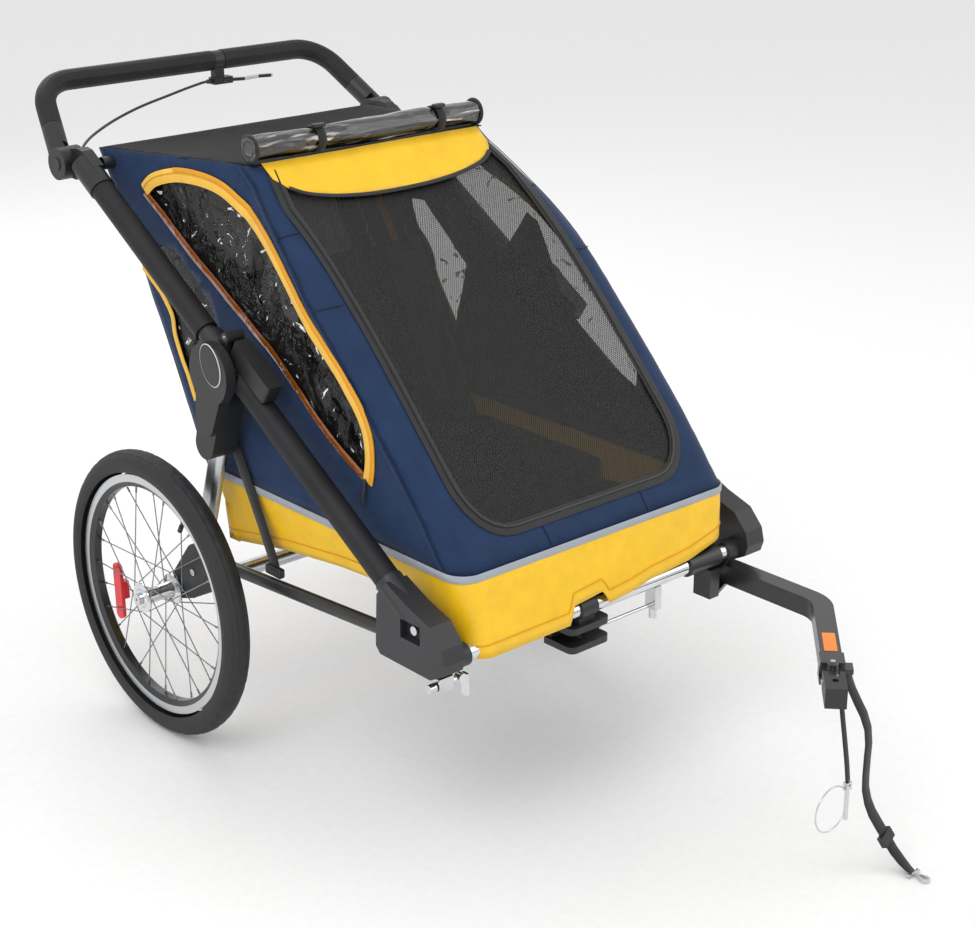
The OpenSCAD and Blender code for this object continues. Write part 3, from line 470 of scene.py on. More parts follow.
def cushion(name, low, high, look):
    """A crowned pad that fills a box, thinner towards its edge."""
    bpy.ops.mesh.primitive_cube_add(size=1, location=(low + high) / 2, scale=tuple(high - low))
    piece = primitive_piece(name, look)
    choose(piece)
    open_mesh_edit("SELECT")
    bpy.ops.mesh.subdivide(number_cuts=14)
    close_mesh_edit()
    middle = (low + high) / 2
    half = (high - low) / 2
    for v in piece.data.vertices:
        d = v.co - middle
        u, w = d.x / half.x, d.y / half.y
        rim = max(0.0, 1 - abs(u) ** 6) * max(0.0, 1 - abs(w) ** 6)
        v.co.z = middle.z + d.z * (0.55 + 0.45 * rim) + (0.002 * ripple(v.co, 0.06, 3.0) if d.z > 0 else 0.0)
        v.co.x = middle.x + d.x * (0.985 + 0.015 * (1 - abs(w)))
    apply_modifier(piece, "SUBSURF", levels=1, render_levels=1)
    box_uv(piece)
    return piece


def box_uv(piece):
    """Lays the cloth's pattern on from the nearest side, in metres."""
    layer = piece.data.uv_layers.get("cloth") or piece.data.uv_layers.new(name="cloth")
    for other in list(piece.data.uv_layers):
        if other.name != "cloth":
            piece.data.uv_layers.remove(other)
    layer = piece.data.uv_layers["cloth"]
    for polygon in piece.data.polygons:
        n = polygon.normal
        axis = max(range(3), key=lambda k: abs(n[k]))
        a, b = [k for k in range(3) if k != axis]
        for index in polygon.loop_indices:
            co = piece.data.vertices[piece.data.loops[index].vertex_index].co
            layer.data[index].uv = (co[a], co[b])


def back_pad(name, foot, half, tall, look):
    """A leaning pad with a rounded head and side bolsters."""
    cols, rows = 18, 34
    verts, faces = [], []
    for face in (0, 1):
        for j in range(rows + 1):
            t = j / rows
            for i in range(cols + 1):
                s = -1 + 2 * i / cols
                width = half * (1.0 if t < 0.75 else math.sqrt(max(0.0, 1 - ((t - 0.75) / 0.27) ** 2)) * 0.6 + 0.4)
                edge = max(0.0, 1 - abs(s) ** 5) * max(0.0, 1 - abs(2 * t - 1) ** 10)
                bolster = 0.006 * math.exp(-(((abs(s) - 0.78) / 0.16) ** 2))
                depth = (0.004 + 0.008 * edge + bolster * edge) if face == 0 else -0.006 * edge
                p = foot + Vector((s * width, 0, 0)) + SEAT_UP * (0.01 + t * (tall - 0.02))
                verts.append(p + SEAT_BEHIND * (0.012 - depth))
    n = (cols + 1) * (rows + 1)
    for j in range(rows):
        for i in range(cols):
            a = j * (cols + 1) + i
            faces.append((a, a + 1, a + cols + 2, a + cols + 1))
            faces.append((n + a + cols + 1, n + a + cols + 2, n + a + 1, n + a))
    rim = [(i, 0) for i in range(cols)] + [(cols, j) for j in range(rows)]
    rim += [(i, rows) for i in range(cols, 0, -1)] + [(0, j) for j in range(rows, 0, -1)]
    index = [j * (cols + 1) + i for i, j in rim]
    for k in range(len(index)):
        a, b = index[k], index[(k + 1) % len(index)]
        faces.append((a, n + a, n + b, b))
    piece = link(name, verts, faces, look)
    turn_out(piece)
    box_uv(piece)
    return piece


# ---------- materials ----------


def colour(code):
    """sRGB hex code as a linear colour."""
    out = []
    for i in (1, 3, 5):
        c = int(code[i : i + 2], 16) / 255
        out.append(c / 12.92 if c <= 0.04045 else ((c + 0.055) / 1.055) ** 2.4)
    return (*out, 1.0)


def give(made, **values):
    """Sets a node's sockets, named with _ for a space or i and a number: a constant or another node's output."""
    for key, value in values.items():
        numbered = key[0] == "i" and key[1:].isdigit()
        socket = made.inputs[int(key[1:]) if numbered else key.replace("_", " ")]
        if isinstance(value, bpy.types.NodeSocket):
            made.id_data.links.new(value, socket)
        else:
            socket.default_value = value


def node(tree, kind, **settings):
    """Adds a shader node; a setting is a property of the node, or goes to a socket."""
    made = tree.nodes.new(kind)
    for key, value in settings.items():
        if hasattr(made, key) and key not in made.inputs:
            setattr(made, key, value)
        else:
            give(made, **{key: value})
    return made


def start(name):
    """A new material with its tree, its shader and its output."""
    made = bpy.data.materials.new(name)
    made.use_nodes = True
    tree = made.node_tree
    tree.nodes.clear()
    shader = node(tree, "ShaderNodeBsdfPrincipled")
    node(tree, "ShaderNodeOutputMaterial", Surface=shader.outputs["BSDF"])
    return made, tree, shader


def coords_of(tree, kind):
    return node(tree, "ShaderNodeTexCoord").outputs[kind]


def speckle(tree, scale, detail=4.0):
    """Cloudy pattern on the object's own coordinates, with scale lumps to a metre."""
    made = node(
        tree, "ShaderNodeTexNoise", Vector=coords_of(tree, "Object"), Scale=scale, Detail=detail, Roughness=0.6
    )
    return made.outputs["Fac"]


def tint(tree, fac, low, high, a=0.3, b=0.7):
    """Colour that runs from low to high as fac goes from a to b."""
    ramp = node(tree, "ShaderNodeValToRGB", Fac=fac)
    for stop, at, shade in zip(ramp.color_ramp.elements, (a, b), (low, high)):
        stop.position = at
        stop.color = shade
    return ramp.outputs["Color"]


def shaded(base, by, more=0.0):
    """A linear colour made lighter or darker."""
    return tuple(min(1.0, c * by + more) for c in base[:3]) + (1.0,)


def remap(tree, value, low, high, first=0.0, last=1.0):
    """Stretches what lies between first and last to between low and high."""
    made = node(
        tree, "ShaderNodeMapRange", Value=value, From_Min=first, From_Max=last, To_Min=low, To_Max=high
    )
    return made.outputs["Result"]


def mixed(tree, fac, low, high):
    made = node(tree, "ShaderNodeMix", data_type="RGBA", i0=fac, i6=low, i7=high)
    return made.outputs[2]


def bump(tree, shader, height, strength, distance):
    """Relief drawn from a grey pattern, with its depth in metres."""
    relief = node(tree, "ShaderNodeBump", Strength=strength, Distance=distance, Height=height)
    give(shader, Normal=relief.outputs["Normal"])


def weave(tree, coords, spacing_mm):
    """The two sets of threads of a cloth, with so many millimetres from one to the next."""
    # A wave texture of scale 1 repeats every 0.314 m
    scale = 1000 / spacing_mm / 6.2832 * 2
    return [
        node(tree, "ShaderNodeTexWave", Vector=coords, Scale=scale, bands_direction=way).outputs["Fac"] for way in "XY"
    ]


def moulded(name, code, rough=0.5, grain_mm=1.6, depth=0.12, ior=1.5, spread=0.25):
    """Moulded plastic, foam or rubber: an even colour, a broad soft highlight and a fine spark-eroded grain."""
    made, tree, shader = start(name)
    base = colour(code)
    cloudy = tint(tree, speckle(tree, 9.0), base, shaded(base, 1 + spread, 0.004))
    give(shader, Base_Color=cloudy, Roughness=rough, IOR=ior)
    bump(tree, shader, speckle(tree, 1000 / grain_mm, 2.0), depth, 0.0004)
    return made


def metal(name, code, rough=0.3, streak_mm=0.0, scuff=0.08):
    """Bare metal, drawn, machined or polished: bright, with faint wear that makes it sharper or duller."""
    made, tree, shader = start(name)
    base = colour(code)
    broad = speckle(tree, 26.0)
    worn = remap(tree, broad, max(0.02, rough - scuff), rough + scuff)
    give(shader, Base_Color=tint(tree, broad, shaded(base, 0.82), base, 0.25, 0.6), Metallic=1.0, Roughness=worn)
    if streak_mm:
        # Fine marks, close together along x
        stretched = node(
            tree, "ShaderNodeMapping", Vector=coords_of(tree, "Object"), Scale=(1000 / streak_mm, 8.0, 8.0)
        )
        lines = node(tree, "ShaderNodeTexNoise", Vector=stretched.outputs["Vector"], Scale=1.0, Detail=2.0)
        bump(tree, shader, lines.outputs["Fac"], 0.15, 0.0003)
    return made


def coated(name, code, rough=0.35, metallic=0.0, orange_peel=0.06):
    """Powder coat on metal: dark and satin, with a thin clear gloss and a slight orange-peel skin."""
    made, tree, shader = start(name)
    base = colour(code)
    give(
        shader, Base_Color=tint(tree, speckle(tree, 14.0), base, shaded(base, 1.3, 0.004)), Roughness=rough,
        Metallic=metallic, Coat_Weight=0.15, Coat_Roughness=0.25,
    )
    bump(tree, shader, speckle(tree, 700.0, 1.0), orange_peel, 0.0004)
    return made


def woven(name, code, thread_mm=2.6, sheen=0.3, rough=0.75, depth=0.35, gloss=0.3, spread=0.22):
    """Woven cloth: matt, with a soft sheen at its edges; its threads follow the sheet's own flat pattern."""
    made, tree, shader = start(name)
    base = colour(code)
    coords = coords_of(tree, "UV")
    warp, weft = weave(tree, coords, thread_mm)
    both = node(tree, "ShaderNodeMath", operation="MULTIPLY", i0=warp, i1=weft).outputs[0]
    broad = node(tree, "ShaderNodeTexNoise", Vector=coords, Scale=22.0, Detail=5.0, Roughness=0.65).outputs["Fac"]
    mix = node(tree, "ShaderNodeMath", operation="MULTIPLY_ADD", i0=both, i1=0.35, i2=broad).outputs[0]
    dark, light = shaded(base, 1 - spread), shaded(base, 1 + spread, 0.003)
    give(
        shader, Base_Color=tint(tree, mix, dark, light, 0.35, 0.9), Roughness=rough, Sheen_Weight=sheen,
        Sheen_Roughness=0.4, Specular_IOR_Level=gloss,
    )
    bump(tree, shader, both, depth, 0.0006)
    return made


def clear_vinyl(name, code, alpha=0.28):
    """Thin coloured PVC film: glossy, wavy, and clear enough to show a little of what is behind."""
    made, tree, shader = start(name)
    waves = node(
        tree, "ShaderNodeTexNoise", Vector=coords_of(tree, "UV"), Scale=16.0, Detail=2.0, Distortion=1.2
    )
    bump(tree, shader, waves.outputs["Fac"], 1.0, 0.012)
    give(shader, Base_Color=colour(code), Roughness=0.04, Alpha=alpha, Coat_Weight=1.0, Coat_Roughness=0.02)
    return made


def glossy_film(name):
    """Thin clear PVC over a dark cabin: sharp, wavy reflections, a faint dark body that is painted shade of the cabin
    behind it, and painted white glints.
    """
    made, tree, shader = start(name)
    coords = coords_of(tree, "UV")
    # Ripples about 60 mm long, as a rolled film keeps them
    waves = node(tree, "ShaderNodeTexNoise", Vector=coords, Scale=13.0, Detail=1.5, Distortion=2.2)
    small = node(tree, "ShaderNodeTexNoise", Vector=coords, Scale=38.0, Detail=1.0, Distortion=1.0)
    both = node(
        tree, "ShaderNodeMath", operation="MULTIPLY_ADD", i0=small.outputs["Fac"], i1=0.22, i2=waves.outputs["Fac"]
    )
    bump(tree, shader, both.outputs[0], 1.0, 0.022)
    # Painted highlights: white glints in patches a few millimetres wide, where the film turns pale and nearly opaque
    glint_noise = node(
        tree, "ShaderNodeTexNoise", Vector=coords, Scale=19.0, Detail=3.0, Distortion=3.0, Roughness=0.55
    )
    painted_glint = remap(tree, glint_noise.outputs["Fac"], 0.0, 1.0, 0.645, 0.675)
    # Base colour and alpha: a dark body painted for the cabin's shade behind the film, turning white and nearly opaque
    # at the painted glints
    give(
        shader, Base_Color=mixed(tree, painted_glint, colour("#141312"), colour("#eef0f0")),
        Alpha=remap(tree, painted_glint, 0.36, 0.92), Roughness=0.03, IOR=1.54, Specular_IOR_Level=0.75, Coat_Weight=1.0,
        Coat_Roughness=0.02,
    )
    return made


def rolled_film(name):
    """Several turns of clear PVC film: painted dark depths, painted bright wavy glints and a brown cast at the folds.
    """
    made, tree, shader = start(name)
    long_way = node(tree, "ShaderNodeMapping", Vector=coords_of(tree, "UV"), Scale=(7.0, 46.0, 1.0))
    folds = node(
        tree, "ShaderNodeTexNoise", Vector=long_way.outputs["Vector"], Scale=1.0, Detail=3.0, Distortion=1.6
    ).outputs["Fac"]
    # Colour ramp over the folds: painted shade in their depths, painted highlights on their crests
    ramp = node(tree, "ShaderNodeValToRGB", Fac=folds)
    stops = ramp.color_ramp.elements
    stops[0].position, stops[0].color = 0.40, colour("#070707")
    stops[1].position, stops[1].color = 0.72, colour("#dedad4")
    stops.new(0.60).color = colour("#1f1b18")
    give(
        shader, Base_Color=ramp.outputs["Color"], Roughness=0.07, IOR=1.54, Coat_Weight=1.0, Coat_Roughness=0.03
    )
    bump(tree, shader, folds, 0.9, 0.008)
    return made


def open_mesh(name, code, hole_mm=4.0, low=0.45, high=0.95):
    """Knitted window mesh: a grey veil over the cabin; its holes are drawn coarser than real ones so that they show."""
    made, tree, shader = start(name)
    turned = node(
        tree, "ShaderNodeMapping", Vector=coords_of(tree, "UV"), Rotation=(0, 0, math.radians(45))
    )
    warp, weft = weave(tree, turned.outputs["Vector"], hole_mm)
    both = node(tree, "ShaderNodeMath", operation="MAXIMUM", i0=warp, i1=weft).outputs[0]
    give(shader, Base_Color=colour(code), Roughness=0.6, Alpha=remap(tree, both, low, high, 0.2, 0.9))
    bump(tree, shader, both, 0.4, 0.0008)
    return made


LOOKS = {}


def make_looks(colours):
    """Every finish, by the name of the material and how it was made."""
    looks = {
        # Cabin cloth: deep, matt navy with a faint sheen, beside a smooth satin coating in yellow
        "navy": woven("navy_polyester_plain_weave", colours.navy, 2.8, 0.12, 0.72, 0.45),
        "yellow": woven("yellow_coated_polyester", colours.yellow, 3.0, 0.1, 0.42, 0.15, 0.5, 0.10),
        # Black cloth is duller than the webbing, whose ribs catch the light
        "black_cloth": woven("black_polyester_weave", "#0e0e0f", 2.6, 0.06, 0.85, 0.4, 0.15),
        "webbing": woven("black_nylon_webbing", "#141416", 2.2, 0.3, 0.65, 0.6, 0.4),
        # Rear window mesh: an opaque sheet, pale as painted daylight shining through it; the tape is a flat, even grey
        # unless lit straight on
        "pale_painted_daylight": woven("mesh_lining_painted_daylight", "#b5ada9", 3.4, 0.1, 0.8, 0.7, 0.3, 0.4),
        "reflective": woven("grey_reflective_tape", "#9aa0aa", 1.6, 0.0, 0.35, 0.15, 0.8, 0.06),
        # Zipper tape and its cover: warm yellow, with the amber edge of tinted vinyl
        "zip_light": woven("yellow_zipper_tape", "#f3c04a", 2.0, 0.15, 0.6, 0.5, 0.35, 0.10),
        "zip_dark": woven("amber_zipper_cover", "#e09a12", 2.0, 0.15, 0.55, 0.4, 0.4, 0.10),
        "amber": clear_vinyl("amber_vinyl_binding", "#8a4a10", 0.92),
        "binding": woven("black_ribbed_binding", "#1d1d1f", 1.8, 0.1, 0.55, 0.8, 0.5),
        # Clear PVC: painted almost black for the shade of the dark cabin behind it, with small painted bright glints
        "vinyl": glossy_film("clear_pvc_film"),
        "smoky": rolled_film("rolled_clear_pvc"),
        "stitch": woven("navy_stitching_thread", "#12233f", 1.2, 0.1, 0.7, 0.6),
        # Black lining inside the cabin, which also stands in for the shade there
        "lining": woven("black_lining_and_painted_cabin_shade", "#141413", 2.8, 0.15, 0.9, 0.4, 0.2),
        # Pale strips inside the cabin: painted daylight from the rear windows
        "window_light": woven("painted_rear_window_daylight", "#a79d99", 3.0, 0.1, 0.8, 0.9, 0.2, 0.45),
        # Knitted mesh dulls everything behind it
        "mesh": open_mesh("black_window_mesh", "#191817", 3.2, 0.40, 0.86),
        # Foam is soft and dull, moulded nylon a little glossier, and a vinyl label smooth
        "foam": moulded("black_eva_foam_sleeve", "#17171a", 0.58, 2.2, 0.5, 1.4, 0.3),
        "abs": moulded("black_moulded_nylon", "#1c1d1f", 0.45, 1.8, 0.18),
        "abs_grey": moulded("dark_grey_cast_nylon", "#222326", 0.45, 1.8, 0.2),
        "label": moulded("satin_black_label", "#101012", 0.3, 3.0, 0.04),
        # Powder coat is smooth satin black, a shade lighter on the arm
        "frame_black": coated("black_powder_coat", "#1a1b1d", 0.36),
        "arm_black": coated("black_powder_coat_arm", "#232426", 0.3),
        # Anodised tube is soft and grey, polished and plated metal bright and sharp, spoke wire darker
        "silver": metal("satin_anodised_aluminium", "#c9cbce", 0.28, 0.5),
        "polished": metal("polished_aluminium", "#dcdee0", 0.14),
        "zinc": metal("bright_zinc_plate", "#d2d3d4", 0.2),
        "spoke": metal("stainless_spoke_wire", "#8f9397", 0.25),
        # Rubber is the dullest black; the acrylic lens is glossy and saturated
        "rubber": moulded("black_tyre_rubber", "#1f2022", 0.68, 2.5, 0.3, 1.5, 0.25),
        "red_lens": moulded("red_acrylic_reflector", "#c0141c", 0.18, 3.0, 0.5, 1.49, 0.4),
        "orange": moulded("orange_vinyl_label", "#e57c1c", 0.35, 4.0, 0.04),
        "white_line": moulded("white_paint_line", "#d8d9da", 0.4, 4.0, 0.03),
    }
    LOOKS.update(looks)


CAD_LOOKS = {
    "silver": "rear_cross_tube leg_tubes",
    "polished": "front_cross_tube brake_lever skewer_lever_right skewer_lever_left hub_right hub_left",
    "zinc": "frame_bolts axles_and_skewers hitch_link snap_hook lock_pin",
    "spoke": "spokes_right spokes_left",
    "rim": "rim_right rim_left",
    "abs": "axle_knuckles leg_housings centre_bracket handle_brackets fold_tongues handle_hubs brake_perch "
    "fold_handle_right fold_handle_left hitch_block strap_slider",
    "abs_grey": "front_brackets hub_button_right hub_button_left",
    "frame_black": "lower_tubes upper_tubes rear_top_bar handlebar_tube side_rails tow_socket",
    "arm_black": "tow_arm",
    "foam": "lower_grips upper_grips handlebar_foam",
    "red_lens": "reflector_right reflector_left",
}


def paint(piece, look):
    piece.data.materials.clear()
    piece.data.materials.append(LOOKS[look])


def rim_look():
    """Aluminium rim: a bright machined brake wall outside, a dark anodised bed inside."""
    made, tree, shader = start("machined_aluminium_rim")
    # Distance from the wheel's axle, whichever wheel it is
    moved = node(
        tree, "ShaderNodeMapping", Vector=coords_of(tree, "Object"), Location=(0, -AXLE, -0.25), Scale=(0, 1, 1)
    )
    reach = node(tree, "ShaderNodeVectorMath", operation="LENGTH", i0=moved.outputs["Vector"]).outputs["Value"]
    edge = remap(tree, reach, 0.0, 1.0, 0.1965, 0.1972)
    rings = node(tree, "ShaderNodeMath", operation="MULTIPLY", i0=reach, i1=2500.0)
    lines = node(tree, "ShaderNodeTexNoise", noise_dimensions="1D", W=rings.outputs[0], Scale=1.0, Detail=1.0)
    give(shader, Base_Color=mixed(tree, edge, colour("#4a4b4d"), colour("#c8cacc")), Metallic=0.9, Roughness=0.3)
    bump(tree, shader, lines.outputs["Fac"], 0.25, 0.0003)
    return made


# ---------- user's settings ----------


class TrailerColours(bpy.types.PropertyGroup):
    navy: bpy.props.StringProperty(
        name="Navy cloth", description="sRGB hex of the cabin's main cloth", default="#0f2b4f"
    )
    yellow: bpy.props.StringProperty(
        name="Yellow cloth", description="sRGB hex of the coated lower band", default="#f2c011"
    )


class TrailerSizes(bpy.types.PropertyGroup):
    cloth_pitch: bpy.props.FloatProperty(
        name="Cloth mesh pitch", description="Spacing of the points in the cloth", default=0.014, unit="LENGTH"
    )
    tread_depth: bpy.props.FloatProperty(
        name="Tread depth", description="Depth of the grooves in the tyres", default=0.0016, unit="LENGTH"
    )


def sizes():
    return bpy.context.scene.trailer_sizes


# ---------- outlines, as (along the trailer from the axle, height) ----------

SIDE_ZIP = [
    (0.104, 0.912), (0.080, 0.932), (0.030, 0.947), (-0.025, 0.950), (-0.080, 0.943), (-0.128, 0.925),
    (-0.185, 0.900), (-0.240, 0.869), (-0.300, 0.823), (-0.365, 0.768), (-0.428, 0.717), (-0.470, 0.675),
    (-0.487, 0.640), (-0.489, 0.600), (-0.483, 0.572),
]
SIDE_AMBER = [
    (0.104, 0.908), (0.060, 0.878), (0.020, 0.851), (-0.048, 0.808), (-0.153, 0.752), (-0.245, 0.713),
    (-0.314, 0.671), (-0.376, 0.628), (-0.430, 0.598), (-0.480, 0.574),
]
QUARTER = [
    (0.094, 0.800), (0.076, 0.770), (0.052, 0.742), (0.034, 0.712), (0.026, 0.684), (0.008, 0.650), (-0.012, 0.618),
    (-0.036, 0.596), (-0.052, 0.640), (-0.082, 0.722), (-0.030, 0.782), (0.028, 0.822), (0.072, 0.824),
]
WAVY = [
    (0.112, 0.780), (0.090, 0.766), (0.060, 0.745), (0.036, 0.716), (0.028, 0.684), (0.010, 0.650),
    (-0.010, 0.618), (-0.030, 0.584),
]


def front_outline(grow=0.0):
    """Front window, as (across, height)."""
    w = 0.226 + grow
    low = 0.520 - grow
    r = 0.075
    pts = [(-0.205 - grow, 0.986), (-w, 0.930), (-w, 0.800), (-w, low + r)]
    for k in range(1, 7):
        a = math.pi / 2 * k / 6
        pts.append((-w + r * (1 - math.cos(a)), low + r * (1 - math.sin(a))))
    mirrored = [(-x, z) for x, z in reversed(pts)]
    return pts + mirrored


def side_region():
    """Outline of a side sheet, from the strip round the nose to the roof and down the rear."""
    front = []
    for k in range(17):
        z = STRIP_Z + (0.985 - STRIP_Z) * k / 16
        front.append((nose_y(z) + CORNER_R, z))
    roof = [(-0.060, 0.9825), (0.080, 0.974), (0.222, 0.965)]
    rear = [(between(TAIL, z), z) for z in (0.85, 0.70, 0.60, STRIP_Z)]
    return front + roof + rear


# Pieces of the cabin, each given a mesh of its own at the end
CABIN = []


def cabin_piece(piece, *nodes):
    """Lists a piece with the cabin's pieces, and hides the framed nodes that it replaces."""
    CABIN.append(piece)
    if nodes:
        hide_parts(*nodes)
    return piece


def cabin_sheet(
    name, outline, holes, pitch, place, look, nodes=(), thick=0.0016, outward=None
):
    """Cuts and declares a sheet of the cabin."""
    cloth = cabin_piece(cut_cloth(name, outline, holes, pitch, place, look, thick, outward), *nodes)
    return cloth


def cabin_tape(*lay, **options):
    return cabin_piece(lay_tape(*lay, **options))


# ---------- operators ----------


class TRAILER_OT_stage(bpy.types.Operator):
    """Sets the pale floor, the studio lights and the camera"""

    bl_idname = "trailer.stage"
    bl_label = "Stage"

    def execute(self, context):
        floor_look, tree, shader = start("matt_white_backdrop_paper")
        paper = tint(tree, speckle(tree, 60.0), colour("#f2f2f2"), colour("#f6f6f6"))
        give(shader, Base_Color=paper, Roughness=0.9)
        bpy.ops.mesh.primitive_plane_add(size=30, location=(0, 0, -0.0005))
        floor = context.active_object
        bpy.ops.object.transform_apply(location=True, rotation=True, scale=True)
        floor.name = "studio_floor"
        floor.data.materials.append(floor_look)
        world = bpy.data.worlds.new("studio")
        world.use_nodes = True
        give(world.node_tree.nodes["Background"], Color=(1.0, 1.0, 1.0, 1.0), Strength=0.86)
        context.scene.world = world
        for name, where, energy, size in (
            ("key_softbox", (-2.6, -1.2, 3.4), 55, 2.2),
            ("fill_softbox", (2.8, -2.8, 2.6), 30, 2.6),
            ("rear_softbox", (0.6, 3.2, 3.0), 35, 2.4),
        ):
            lamp = bpy.data.lights.new(name, "AREA")
            lamp.energy = energy
            lamp.size = size
            light = bpy.data.objects.new(name, lamp)
            context.scene.collection.objects.link(light)
            light.location = where
            aim = Vector((0, 0, 0.5)) - Vector(where)
            light.rotation_euler = aim.to_track_quat("-Z", "Y").to_euler()
        lens = bpy.data.cameras.new("camera")
        lens.lens = 73.58
        lens.sensor_width = 36.0
        camera = bpy.data.objects.new("camera", lens)
        context.scene.collection.objects.link(camera)
        azimuth, elevation = math.radians(41.911), math.radians(20.849)
        right = Vector((math.cos(azimuth), -math.sin(azimuth), 0))
        look = Vector(
            (math.sin(azimuth) * math.cos(elevation), math.cos(azimuth) * math.cos(elevation), -math.sin(elevation))
        )
        up = right.cross(look)
        turn = Matrix((right, up, -look)).transposed().to_4x4()
        camera.matrix_world = Matrix.Translation((-2.003, -2.310, 1.654)) @ turn
        context.scene.camera = camera
        context.scene.view_settings.view_transform = "Standard"
        return {"FINISHED"}


# Routes of the hanging webbing, in metres from the axle
STRAP_ROUTE = [
    (0.168, -1.042, 0.3118), (0.167, -1.046, 0.302), (0.168, -1.052, 0.288), (0.170, -1.062, 0.271),
    (0.174, -1.072, 0.252), (0.176, -1.080, 0.231), (0.174, -1.085, 0.208), (0.169, -1.088, 0.184),
    (0.166, -1.090, 0.160), (0.166, -1.091, 0.138), (0.169, -1.095, 0.116), (0.175, -1.100, 0.096),
    (0.186, -1.106, 0.074), (0.197, -1.113, 0.051), (0.204, -1.124, 0.030), (0.208, -1.137, 0.016),
    (0.209, -1.149, 0.008), (0.209, -1.1588, 0.0046),
]
LANYARD_ROUTE = [
    (0.098, -1.088, 0.3005), (0.098, -1.089, 0.292), (0.098, -1.092, 0.276), (0.099, -1.095, 0.256),
    (0.101, -1.097, 0.236), (0.103, -1.099, 0.216), (0.105, -1.100, 0.200), (0.107, -1.100, 0.187),
    (0.109, -1.100, 0.176),
]
CABLE_ROUTE = [
    (0.042, 0.377, 1.016), (0.030, 0.377, 1.015), (0.012, 0.374, 1.013), (-0.012, 0.370, 1.010),
    (-0.038, 0.366, 1.006), (-0.066, 0.361, 1.002), (-0.096, 0.355, 0.998), (-0.126, 0.347, 0.994),
    (-0.156, 0.338, 0.989), (-0.184, 0.328, 0.984), (-0.210, 0.317, 0.979), (-0.234, 0.305, 0.974),
    (-0.256, 0.293, 0.969), (-0.274, 0.281, 0.964), (-0.288, 0.270, 0.959), (-0.296, 0.263, 0.955),
]


def behind_axle(route):
    return [Vector((x, y + AXLE, z)) for x, y, z in route]


class TRAILER_OT_cords(bpy.types.Operator):
    """Makes the safety strap, the pin's lanyard and the brake cable"""

    bl_idname = "trailer.cords"
    bl_label = "Straps and Cable"

    def execute(self, context):
        strap = behind_axle(STRAP_ROUTE)
        piece = sweep(
            "safety_strap_webbing", strap, strap_section(0.020, 0.003), (0.15, -1.0, 0.1), "webbing", "tow_arm"
        )
        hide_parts("safety_strap")
        lanyard = behind_axle(LANYARD_ROUTE)
        piece = sweep("lock_pin_lanyard", lanyard, strap_section(0.010, 0.0025), (0.0, -1.0, 0.0), "webbing", "hitch")
        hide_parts("pin_lanyard")
        cable = curve_through(behind_axle(CABLE_ROUTE), 3)
        piece = sweep("brake_cable_outer", cable, round_section(0.0025, 10), (0, 0.4, 1), "frame_black", "handlebar")
        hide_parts("brake_cable")
        return {"FINISHED"}


class TRAILER_OT_finishes(bpy.types.Operator):
    """Gives every framed part its finish"""

    bl_idname = "trailer.finishes"
    bl_label = "Finishes"

    def execute(self, context):
        make_looks(context.scene.trailer_colours)
        LOOKS["rim"] = rim_look()
        for look, names in CAD_LOOKS.items():
            for name in names.split():
                paint(NODES[name], look)
        return {"FINISHED"}


